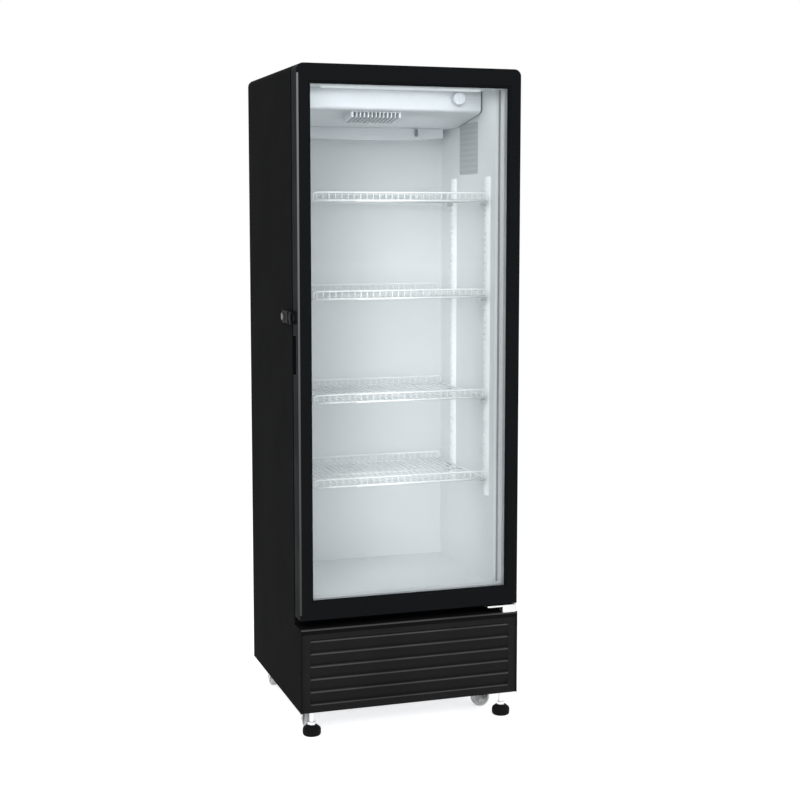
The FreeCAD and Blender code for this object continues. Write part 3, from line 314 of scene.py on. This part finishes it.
# ---------------------------------------------------------------- making pieces
def piece_from(bm, name, material, body, smooth=True, hides=()):
    mesh = bpy.data.meshes.new(name)
    bmesh.ops.recalc_face_normals(bm, faces=bm.faces)
    bm.to_mesh(mesh)
    bm.free()
    for face in mesh.polygons:
        face.use_smooth = smooth
    obj = bpy.data.objects.new(name, mesh)
    bpy.context.scene.collection.objects.link(obj)
    mesh.materials.append(M[material])
    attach(obj, body)
    if hides:
        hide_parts(*hides)
    return obj


def soft_edges(obj, width, segments=3, angle=35):
    """Rounds a piece's sharp edges and keeps its flats flat."""
    mod = obj.modifiers.new("edges", "BEVEL")
    mod.width = width / 1000
    mod.segments = segments
    mod.limit_method = "ANGLE"
    mod.angle_limit = math.radians(angle)
    mod.use_clamp_overlap = True
    mod.harden_normals = True
    return obj


def rounded_path(corners, radius, closed=False, steps=6):
    """Points along straight runs whose corners are arcs."""
    made = []
    count = len(corners)
    for i, corner in enumerate(corners):
        if not closed and i in (0, count - 1):
            made.append(Vector(corner))
            continue
        here = Vector(corner)
        before = Vector(corners[i - 1]) - here
        after = Vector(corners[(i + 1) % count]) - here
        reach = min(radius, before.length / 2.01, after.length / 2.01)
        start = here + before.normalized() * reach
        end = here + after.normalized() * reach
        for k in range(steps + 1):
            t = k / steps
            a = start.lerp(here, t)
            b = here.lerp(end, t)
            made.append(a.lerp(b, t))
    return made


def sweep(bm, path, radius, sides=8, closed=False):
    """Adds a round bar along a path given in working millimetres."""
    points = [at(*p) for p in path]
    count = len(points)
    r = radius / 1000
    first = (points[1] - points[0]).normalized()
    side = first.orthogonal().normalized()
    rings = []
    last = first
    for i, point in enumerate(points):
        if closed:
            way = (points[(i + 1) % count] - points[i - 1]).normalized()
        elif i == 0:
            way = first
        elif i == count - 1:
            way = (points[-1] - points[-2]).normalized()
        else:
            way = (points[i + 1] - points[i - 1]).normalized()
        side = last.rotation_difference(way) @ side
        last = way
        up = way.cross(side)
        rings.append([bm.verts.new(point + r * (math.cos(2 * math.pi * k / sides) * side
                                                + math.sin(2 * math.pi * k / sides) * up))
                      for k in range(sides)])
    pairs = count if closed else count - 1
    for i in range(pairs):
        a, b = rings[i], rings[(i + 1) % count]
        for k in range(sides):
            bm.faces.new((a[k], a[(k + 1) % sides], b[(k + 1) % sides], b[k]))
    if not closed:
        bm.faces.new(list(reversed(rings[0])))
        bm.faces.new(rings[-1])


def slab(bm, x0, x1, y0, y1, z0, z1):
    """Adds a box between two corners in working millimetres."""
    corners = [bm.verts.new(at(x, y, z)) for z in (z0, z1) for y in (y0, y1) for x in (x0, x1)]
    for loop in ((0, 1, 3, 2), (4, 6, 7, 5), (0, 4, 5, 1), (2, 3, 7, 6), (0, 2, 6, 4), (1, 5, 7, 3)):
        bm.faces.new([corners[k] for k in loop])


def extrude_outline(bm, outline, start, end, place):
    """Adds a solid: an outline of (u, v) points carried from start to end by place(u, v, w)."""
    a = [bm.verts.new(place(u, v, start)) for u, v in outline]
    b = [bm.verts.new(place(u, v, end)) for u, v in outline]
    bm.faces.new(a)
    bm.faces.new(list(reversed(b)))
    n = len(outline)
    for i in range(n):
        bm.faces.new((a[i], b[i], b[(i + 1) % n], a[(i + 1) % n]))


def lathe(bm, profile, centre, axis, segments=48, ripple=None):
    """Adds a turned form: (radius, height) points about an axis through a centre."""
    axis = Vector(axis).normalized()
    side = axis.orthogonal().normalized()
    up = axis.cross(side)
    origin = at(*centre)
    rings = []
    for radius, height in profile:
        if radius < 1e-6:
            rings.append([bm.verts.new(origin + axis * height / 1000)])
            continue
        ring = []
        for k in range(segments):
            turn = 2 * math.pi * k / segments
            r = radius + (ripple(turn, radius, height) if ripple else 0)
            ring.append(bm.verts.new(origin + axis * height / 1000
                                     + (math.cos(turn) * side + math.sin(turn) * up) * r / 1000))
        rings.append(ring)
    for a, b in zip(rings, rings[1:]):
        if len(a) == 1 and len(b) == 1:
            continue
        if len(a) == 1:
            for k in range(segments):
                bm.faces.new((a[0], b[k], b[(k + 1) % segments]))
        elif len(b) == 1:
            for k in range(segments):
                bm.faces.new((b[0], a[(k + 1) % segments], a[k]))
        else:
            for k in range(segments):
                bm.faces.new((a[k], a[(k + 1) % segments], b[(k + 1) % segments], b[k]))


# ---------------------------------------------------------------- shelves
FINE, RAIL, FENCE = 3.0, 6.0, 5.0
PITCH = 17.0


def wire_shelf(node):
    """Round coated wires turned up at both ends, welded on cross rails."""
    low, high = span(node)
    half = (high.x - low.x) / 2
    front, back = low.y + (FENCE - FINE) / 2, high.y - (FENCE - FINE) / 2
    top = high.z
    rail_z = low.z + RAIL / 2
    deck = low.z + RAIL - 1 + FINE / 2
    bm = bmesh.new()
    count = int(2 * (half - RAIL) / PITCH)
    for n in range(count + 1):
        x = (n - count / 2) * PITCH
        path = rounded_path([(x, front + FINE / 2, top - 1), (x, front + FINE / 2, deck),
                             (x, back - FINE / 2, deck), (x, back - FINE / 2, top - 1)], 6.0, steps=4)
        sweep(bm, path, FINE / 2, 6)
    for y in (front + RAIL / 2, (front + back) / 2, back - RAIL / 2):
        sweep(bm, [(-half + 1, y, rail_z), (half - 1, y, rail_z)], RAIL / 2, 10)
    for y in (front + FINE / 2, back - FINE / 2):
        fence = rounded_path([(-half + RAIL / 2, y, rail_z), (-half + RAIL / 2, y, top - FENCE / 2),
                              (half - RAIL / 2, y, top - FENCE / 2), (half - RAIL / 2, y, rail_z)], 9.0)
        sweep(bm, fence, FENCE / 2, 10)
    for side in (-1, 1):
        x = side * (half - RAIL / 2)
        sweep(bm, [(x, front + 2, rail_z), (x, back - 2, rail_z)], RAIL / 2, 10)
    return piece_from(bm, node + "_wires", "wire_white", "cabinet", hides=(node,))


for number in range(1, 5):
    wire_shelf("shelf_%d" % number)


# ---------------------------------------------------------------- shared makers
slot_of = {part["node"]: part["material_slot"] for part in frame["record"]["subparts"]}


def sharpen(obj, angle=38):
    """Flat faces stay flat: edges beyond the angle are sharp."""
    obj.data.set_sharp_from_angle(angle=math.radians(angle))
    return obj


def sheet_grid(bm, columns, skip=None):
    """Surface over columns of places with equal counts; skip(column, row) leaves a cell open."""
    verts = [[bm.verts.new(at(*place)) for place in column] for column in columns]
    for i in range(len(columns) - 1):
        for k in range(len(columns[0]) - 1):
            if skip and skip(i, k):
                continue
            bm.faces.new((verts[i][k], verts[i + 1][k], verts[i + 1][k + 1], verts[i][k + 1]))
    return verts


def thicken(obj, amount, offset):
    mod = obj.modifiers.new("sheet", "SOLIDIFY")
    mod.thickness = amount / 1000
    mod.offset = offset
    return obj


def arc_points(cx, cz, radius, start, end, steps=6):
    """(u, v) points of an arc between two angles in degrees."""
    made = []
    for k in range(steps + 1):
        a = math.radians(start + (end - start) * k / steps)
        made.append((cx + radius * math.cos(a), cz + radius * math.sin(a)))
    return made


# ---------------------------------------------------------------- base front: pressed louvres
grille_low, grille_high = span("front_grille")
SLATS, SLAT_PITCH, SLAT_FIRST, REACH = 5, 33.5, 23.0, 273.0
FACE, DEEP = 1.6, grille_high.y


def louvre_rows():
    """Side profile of the pressed sheet from the foot to the top: (y, z, is a slit) per point."""
    low, high = grille_low.z, grille_high.z
    rows = [(DEEP, low + 0.6, False), (FACE + 1.6, low + 0.6, False), (FACE + 0.4, low + 1.0, False),
            (FACE, low + 2.2, False)]
    foot = low + SLAT_FIRST
    rows += [(FACE, foot - 4.0, False), (FACE - 0.9, foot - 2.2, False), (FACE - 1.2, foot - 1.0, False),
             (FACE - 0.6, foot, False), (FACE + 1.0, foot - 0.2, True)]
    for n in range(SLATS):
        top = foot + SLAT_PITCH
        rows += [(DEEP - 3.5, foot - 1.8, False), (DEEP - 4.5, foot + 1.4, False),
                 (FACE + 3.4, foot + SLAT_PITCH * 0.42, False), (FACE + 0.7, top - 5.0, False),
                 (FACE - 0.7, top - 3.0, False), (FACE - 1.3, top - 1.7, False), (FACE - 1.2, top - 0.7, False),
                 (FACE - 0.5, top, False), (FACE + 0.9, top + 0.1, True)]
        foot = top
    rows += [(FACE + 2.2, foot + 0.6, False), (FACE + 0.5, foot + 2.4, False), (FACE, foot + 4.0, False)]
    rows += [(FACE, high - 2.2, False), (FACE + 0.4, high - 1.0, False), (FACE + 1.6, high - 0.6, False),
             (DEEP, high - 0.6, False)]
    return rows


def base_louvres():
    rows = louvre_rows()
    first, last = 4, len(rows) - 5
    flat = []
    for k, (y, z, _) in enumerate(rows):
        if first <= k <= last:
            t = (k - first) / (last - first)
            flat.append((FACE, rows[first][1] + t * (rows[last][1] - rows[first][1])))
        else:
            flat.append((y, z))
    edge = grille_high.x - 0.6
    columns = []
    for x, share in ((-edge, 0.0), (-REACH - 2.5, 0.0), (-REACH - 1.2, 0.45), (-REACH + 0.8, 0.9),
                     (-REACH + 3.0, 1.0), (0.0, 1.0), (REACH - 3.0, 1.0), (REACH - 0.8, 0.9),
                     (REACH + 1.2, 0.45), (REACH + 2.5, 0.0), (edge, 0.0)):
        column = []
        for (y, z, _), (fy, fz) in zip(rows, flat):
            column.append((x, fy + (y - fy) * share, fz + (z - fz) * share))
        columns.append(column)
    slits = {k for k, row in enumerate(rows) if row[2]}
    bm = bmesh.new()
    sheet_grid(bm, columns, lambda i, k: k in slits and 4 <= i <= 5)
    obj = piece_from(bm, "base_louvres", "grille_black", "cabinet", hides=("front_grille",))
    # Crest faces that look up or forward take the lighter colour: a painted highlight.
    obj.data.materials.append(M["lip_painted_highlight"])
    for face in obj.data.polygons:
        middle = face.center
        z = middle.z * 1000
        x = abs(middle.x - MID) * 1000
        for n in range(SLATS + 1):
            crest = grille_low.z + SLAT_FIRST + n * SLAT_PITCH
            if crest - 2.6 < z < crest + 0.4 and x < REACH + 1 and face.normal.y < 0.2:
                face.material_index = 1
    thicken(obj, 0.9, 0.0)
    return sharpen(obj, 50)


base_louvres()


def deck_sheet():
    """Deck whose front edge is folded down over a round."""
    low, high = span("compartment_deck")
    t, r = 1.2, 5.0
    round_y, round_z = low.y + r, high.z - r
    outer = [(low.y, low.z)] + arc_points(round_y, round_z, r, 180, 90) + [(high.y, high.z)]
    inner = [(high.y, high.z - t)] + arc_points(round_y, round_z, r - t, 90, 180) + [(low.y + t, low.z)]
    bm = bmesh.new()
    extrude_outline(bm, outer + inner, low.x, high.x, lambda y, z, x: at(x, y, z))
    obj = piece_from(bm, "deck_sheet", slot_of["compartment_deck"], "cabinet", hides=("compartment_deck",))
    # The round's faces that look up and forward take the lighter colour: a painted highlight.
    obj.data.materials.append(M["lip_painted_highlight"])
    for face in obj.data.polygons:
        if face.normal.z > 0.2 and face.normal.y < -0.2:
            face.material_index = 1
    return sharpen(obj)


deck_sheet()

# ---------------------------------------------------------------- evaporator cover
cover_low, cover_high = span("evaporator_housing")
mouth_low, mouth_high = span("outlet_grille")
LINER_HALF = 255.0      # half the width between the side walls
COVER_LIP = 57.0        # height of the cover's upright front
SLOPE_BACK = 134.0      # from the end of the sloping underside to the cover's back
MOUTH_LAP = 4.0         # how far the outlet's rim laps over the opening


def cover_outline():
    """(y, z) points from the ceiling down the front, round the corner and back along the underside."""
    front, back, top = cover_low.y, cover_high.y, cover_high.z
    lip = top - COVER_LIP
    slope_end = back - SLOPE_BACK
    r = 9.0
    tilt = math.degrees(math.atan2(lip - cover_low.z, slope_end - front))
    points = [(front, top), (front, top - 20.0)]
    points += arc_points(front + r, lip + r, r, 180, 270 - tilt, 7)
    points += [(mouth_low.y + MOUTH_LAP, None), (mouth_high.y - MOUTH_LAP, None)]
    points += [(slope_end - 6, cover_low.z + (lip - cover_low.z) * 6 / (slope_end - front)),
               (slope_end + 2, cover_low.z), (back, cover_low.z)]
    made = []
    for y, z in points:
        if z is None:
            t = (y - front) / (slope_end - front)
            z = lip + (cover_low.z - lip) * t
        made.append((y, z))
    return made


def evaporator_cover():
    outline = cover_outline()
    across = [cover_low.x, mouth_low.x + MOUTH_LAP, mouth_high.x - MOUTH_LAP, cover_high.x]
    mouth_row = next(k for k, (y, z) in enumerate(outline) if abs(y - mouth_low.y - MOUTH_LAP) < 0.01)
    bm = bmesh.new()
    verts = sheet_grid(bm, [[(x, y, z) for y, z in outline] for x in across],
                       lambda i, k: i == 1 and k == mouth_row)
    for column, x in ((verts[0], across[0]), (verts[-1], across[-1])):
        corner = bm.verts.new(at(x, cover_high.y, cover_high.z))
        bm.faces.new(column + [corner])
    obj = piece_from(bm, "evaporator_cover", "housing_white", "cabinet", hides=("evaporator_housing",))
    thicken(obj, 2.0, -1.0)
    sharpen(obj, 50)
    return obj


evaporator_cover()


def cover_gap_shades():
    """Dark strips that fill the gaps between the cover's ends and the side walls: painted shade standing in for
    the shadow there.
    """
    outline = cover_outline()
    bm = bmesh.new()
    for side in (-1, 1):
        x0, x1 = side * (cover_high.x + 0.1), side * (LINER_HALF - 0.1)
        drawn = [(y + 1.5, z + (1.5 if k > 1 else 0)) for k, (y, z) in enumerate(outline)]
        back = [(y + 9.0, z + 7.0) for y, z in reversed(drawn[2:-1])]
        loop = drawn[:-1] + back + [(drawn[0][0] + 9.0, drawn[0][1])]
        extrude_outline(bm, loop, min(x0, x1), max(x0, x1), lambda y, z, x: at(x, y, z))
    return sharpen(piece_from(bm, "cover_gap_shades", "gap_painted_shade", "cabinet"))


cover_gap_shades()


FLOOR_Z = 350.0         # the liner's floor
PROBE_X, PROBE_Z = 146, 1566
DRAIN_X, DRAIN_Y = 7, 462


def probe_and_drain():
    """Temperature probe in its clip in front of the tray, and the drain cup in the floor."""
    tray_low = span("drip_tray")[0]
    bm = bmesh.new()
    y = tray_low.y - 5.5
    lathe(bm, [(0, 0), (2.6, 0.4), (4.2, 2), (4.6, 4), (4.6, 18), (4.2, 20), (2.6, 21.6), (0, 22)],
          (PROBE_X, y, PROBE_Z), (0, 0, 1), 20)
    slab(bm, PROBE_X - 3, PROBE_X + 3, y + 3.5, tray_low.y - 0.1, PROBE_Z + 7, PROBE_Z + 15)
    sharpen(piece_from(bm, "air_probe", "gasket_grey", "cabinet"))
    bm = bmesh.new()
    lathe(bm, [(11, 0), (11, 0.9), (9.6, 1.3), (8.2, 0.9), (7.6, 0.3), (0, 0.2)],
          (DRAIN_X, DRAIN_Y, FLOOR_Z), (0, 0, 1), 32)
    sharpen(piece_from(bm, "drain_cup", "inner_grey", "cabinet"))


probe_and_drain()


PLATE_FRONT, PLATE_BACK, PLATE_FOOT, PLATE_TOP, PLATE_ROUND = 195, 334, 1459, 1599, 6


def wall_label():
    """Plain plate on the right wall, nothing written on it."""
    bm = bmesh.new()
    loop = []
    front, back = PLATE_FRONT + PLATE_ROUND, PLATE_BACK - PLATE_ROUND
    foot, top = PLATE_FOOT + PLATE_ROUND, PLATE_TOP - PLATE_ROUND
    for cy, cz, turn in ((back, top, 0), (front, top, 90), (front, foot, 180), (back, foot, 270)):
        loop += arc_points(cy, cz, PLATE_ROUND, turn, turn + 90, 5)
    extrude_outline(bm, loop, LINER_HALF - 0.8, LINER_HALF - 0.05, lambda y, z, x: at(x, y, z))
    return sharpen(piece_from(bm, "wall_plate", "label", "cabinet"))


wall_label()

# ---------------------------------------------------------------- thermostat dial ring
knob_low, knob_high = span("thermostat_knob")
knob_x = (knob_low.x + knob_high.x) / 2
knob_z = (knob_low.z + knob_high.z) / 2
bm = bmesh.new()
lathe(bm, [(18.6, 0), (18.6, 0.6), (20.2, 0.8), (20.6, 0)], (knob_x, cover_low.y, knob_z), (0, -1, 0), 64)
for n in range(9):
    turn = math.radians(-120 + 30 * n)
    cx, cz = knob_x + 20.4 * math.sin(turn) * 0.92, knob_z + 20.4 * math.cos(turn) * 0.92
    if cz + 1 < cover_high.z:
        slab(bm, cx - 0.6, cx + 0.6, cover_low.y - 0.9, cover_low.y - 0.3, cz - 0.6, cz + 0.6)
sharpen(piece_from(bm, "dial_ring", "inner_grey", "cabinet"))

# ---------------------------------------------------------------- levelling feet and casters


def foot_pad_piece(side):
    node = "foot_pad_" + side
    low, high = span(node)
    r = (high.x - low.x) / 2
    h = high.z - low.z
    profile = [(5.3, h), (r * 0.54, h), (r * 0.60, h * 0.98), (r * 0.68, h * 0.90), (r * 0.86, h * 0.80),
               (r * 0.96, h * 0.70), (r, h * 0.58), (r, h * 0.24), (r * 0.97, h * 0.12), (r * 0.90, h * 0.03),
               (r * 0.84, 0), (r * 0.7, 0), (r * 0.66, h * 0.06), (0, h * 0.06)]
    bm = bmesh.new()
    lathe(bm, profile, ((low.x + high.x) / 2, (low.y + high.y) / 2, low.z), (0, 0, 1), 56)
    sharpen(piece_from(bm, node + "_moulding", slot_of[node], node, hides=(node,)), 45)


def wheel_piece(node):
    low, high = span(node)
    centre = (low + high) / 2
    size = high - low
    along_x = size.x < size.y
    r = size.z / 2
    w = (size.x if along_x else size.y) / 2
    profile = [(4.1, w * 0.95), (7.4, w * 0.95), (7.8, w * 0.78), (r * 0.62, w * 0.70), (r * 0.70, w * 0.74),
               (r * 0.74, w * 0.96), (r * 0.80, w), (r * 0.90, w * 0.94), (r * 0.97, w * 0.80), (r, w * 0.55),
               (r, w * 0.06), (r * 0.992, 0)]
    loop = profile + [(a, -b) for a, b in reversed(profile[:-1])]
    loop.append(loop[0])
    bm = bmesh.new()
    lathe(bm, loop, tuple(centre), (1, 0, 0) if along_x else (0, 1, 0), 64)
    bmesh.ops.remove_doubles(bm, verts=bm.verts, dist=1e-6)
    sharpen(piece_from(bm, node + "_moulding", slot_of[node], node, hides=(node,)), 45)


for side in ("left", "right"):
    foot_pad_piece(side)
    wheel_piece("front_caster_wheel_" + side)
    wheel_piece("rear_caster_wheel_" + side)

# ---------------------------------------------------------------- door trim and fasteners
stile_low, stile_high = span("left_stile")


def edge_highlight_strip():
    """Satin strip along the opening stile's front edge, coloured with a painted highlight that is brighter
    towards the top.
    """
    bm = bmesh.new()
    r = 6.2
    outline = arc_points(stile_low.x + 6.0, 6.0, r, 190, 248, 8)
    inner = arc_points(stile_low.x + 6.0, 6.0, r - 0.5, 248, 190, 8)
    place = lambda x, y, z: at(max(x, stile_low.x - 0.3), max(y, 0.0), z)
    extrude_outline(bm, outline + inner, stile_low.z + 14, stile_high.z - 19, place)
    return sharpen(piece_from(bm, "door_edge_highlight_strip", "edge_painted_highlight", "door"), 60)


edge_highlight_strip()


GASKET_W = 16.0
FRONT_BACK = span("left_stile")[1].y


def ribbed_gasket():
    """Door gasket with its magnet strip, two folds and dart, mitred at the corners."""
    low, high = span("door_gasket")
    dart, face = low.y, high.y
    seat = FRONT_BACK
    wide = GASKET_W
    profile = [(0, face), (wide, face), (wide, face - 2.3), (wide - 2.0, face - 3.8), (wide - 0.3, face - 5.5),
               (wide - 2.4, face - 7.3), (wide - 1.0, seat), (9.7, seat), (9.4, dart), (6.6, dart), (6.3, seat),
               (1.0, seat), (2.4, face - 7.3), (0.3, face - 5.5), (2.0, face - 3.8), (0, face - 2.3)]
    bm = bmesh.new()
    rings = []
    for inward, y in profile:
        x, z0, z1 = high.x - inward, low.z + inward, high.z - inward
        rings.append([bm.verts.new(at(*p)) for p in ((-x, y, z0), (x, y, z0), (x, y, z1), (-x, y, z1))])
    for a, b in zip(rings, rings[1:] + rings[:1]):
        for k in range(4):
            bm.faces.new((a[k], a[(k + 1) % 4], b[(k + 1) % 4], b[k]))
    sharpen(piece_from(bm, "gasket_bellows", "gasket_grey", "door", hides=("door_gasket",)), 30)


ribbed_gasket()

nodes["lock_barrel"].material_slots[0].material = M["worn_barrel"]
nodes["pilasters"].material_slots[0].material = M["rail_white"]
for name, width in (("lock_housing", 0.8), ("lock_keeper", 0.8), ("lock_bolt", 0.5), ("hinge_brackets", 0.6),
                    ("drip_tray", 1.0), ("outlet_grille", 0.4), ("handle_insert", 0.5),
                    ("door_inner_frame", 0.6)):
    soft_edges(nodes[name], width, 2)

# ---------------------------------------------------------------- stage, light and camera
def seen_rays(tree):
    """1 for rays from the camera, from gloss and through glass; these see a white room."""
    path = tree.nodes.new("ShaderNodeLightPath")
    seen = node_of(tree, "ShaderNodeMath", operation="MAXIMUM")
    also = node_of(tree, "ShaderNodeMath", operation="MAXIMUM")
    tree.links.new(path.outputs["Is Camera Ray"], seen.inputs[0])
    tree.links.new(path.outputs["Is Glossy Ray"], seen.inputs[1])
    tree.links.new(seen.outputs[0], also.inputs[0])
    tree.links.new(path.outputs["Is Transmission Ray"], also.inputs[1])
    return also


FLOOR_LIFT = 0.56       # glow that brings the lit floor up to the white of the world
floor_mesh = bpy.data.meshes.new("floor")
bm = bmesh.new()
bmesh.ops.create_circle(bm, cap_ends=True, radius=40, segments=64)
bm.to_mesh(floor_mesh)
bm.free()
floor = bpy.data.objects.new("studio_floor", floor_mesh)
bpy.context.scene.collection.objects.link(floor)
mat, tree, shader, out = new_material("floor_paint")
cloud = pattern(tree, 1.2)
tree.links.new(tint(tree, cloud.outputs[0], (0.80, 0.80, 0.80), (0.82, 0.82, 0.82)),
               shader.inputs["Base Color"])
shader.inputs["Roughness"].default_value = 0.9
shader.inputs["Specular IOR Level"].default_value = 0.0
also = seen_rays(tree)
glow = node_of(tree, "ShaderNodeEmission", Color=(1, 1, 1, 1))
lift = node_of(tree, "ShaderNodeMath", operation="MULTIPLY")
lift.inputs[1].default_value = FLOOR_LIFT
tree.links.new(also.outputs[0], lift.inputs[0])
tree.links.new(lift.outputs[0], glow.inputs["Strength"])
both = tree.nodes.new("ShaderNodeAddShader")
tree.links.new(shader.outputs[0], both.inputs[0])
tree.links.new(glow.outputs[0], both.inputs[1])
tree.links.new(both.outputs[0], out.inputs[0])
floor.data.materials.append(mat)

world = bpy.data.worlds.new("studio")
bpy.context.scene.world = world
world.use_nodes = True
tree = world.node_tree
tree.nodes.clear()
out = tree.nodes.new("ShaderNodeOutputWorld")
white = node_of(tree, "ShaderNodeBackground", Color=(1, 1, 1, 1), Strength=1.0)
room = node_of(tree, "ShaderNodeBackground", Color=(0.97, 0.985, 1.0, 1), Strength=0.62)
also = seen_rays(tree)
mix = tree.nodes.new("ShaderNodeMixShader")
tree.links.new(also.outputs[0], mix.inputs[0])
tree.links.new(room.outputs[0], mix.inputs[1])
tree.links.new(white.outputs[0], mix.inputs[2])
tree.links.new(mix.outputs[0], out.inputs[0])


def soft_light(name, place, aim, width, height, power, colour=(1, 1, 1), mirrored=False):
    data = bpy.data.lights.new(name, "AREA")
    data.shape = "RECTANGLE"
    data.size = width / 1000
    data.size_y = height / 1000
    data.energy = power
    data.color = colour
    obj = bpy.data.objects.new(name, data)
    bpy.context.scene.collection.objects.link(obj)
    obj.location = at(*place)
    obj.rotation_euler = (at(*aim) - at(*place)).to_track_quat("-Z", "Y").to_euler()
    obj.visible_glossy = mirrored
    obj.visible_camera = False
    return obj


soft_light("key", (-2400, -3600, 3300), (0, 250, 900), 2600, 2600, 170.0, (1.0, 0.995, 0.985))
soft_light("fill", (2900, -2600, 1900), (0, 250, 800), 2200, 2200, 60.0, (0.98, 0.99, 1.0))

lamp_low, lamp_high = span("interior_lamp")
soft_light("lamp_glow", (0, lamp_high.y + 6, lamp_low.z - 3), (0, 420, 600), lamp_high.x - lamp_low.x, 18, 0.18,
           (0.97, 0.99, 1.0))
room = soft_light("room_glow", (0, 72, 985), (0, 484, 985), 400, 1120, 0.52, (0.985, 0.995, 1.0))
room.data.spread = math.radians(115)
side = soft_light("side_glow", (-110, 70, 985), (250, 440, 985), 220, 1120, 0.58, (0.985, 0.995, 1.0))
side.data.spread = math.radians(80)

camera_data = bpy.data.cameras.new("camera")
camera = bpy.data.objects.new("camera", camera_data)
bpy.context.scene.collection.objects.link(camera)
bpy.context.scene.camera = camera
camera_data.sensor_width = 36
camera_data.lens = 67.41
camera_data.shift_y = -0.03
camera_data.clip_start = 0.05
camera_data.clip_end = 200
camera.location = at(-1232, -3639, 1345)
camera.rotation_euler = (math.radians(90 - 6.10), 0, math.radians(-18.25))

bpy.context.scene.view_settings.view_transform = "Standard"
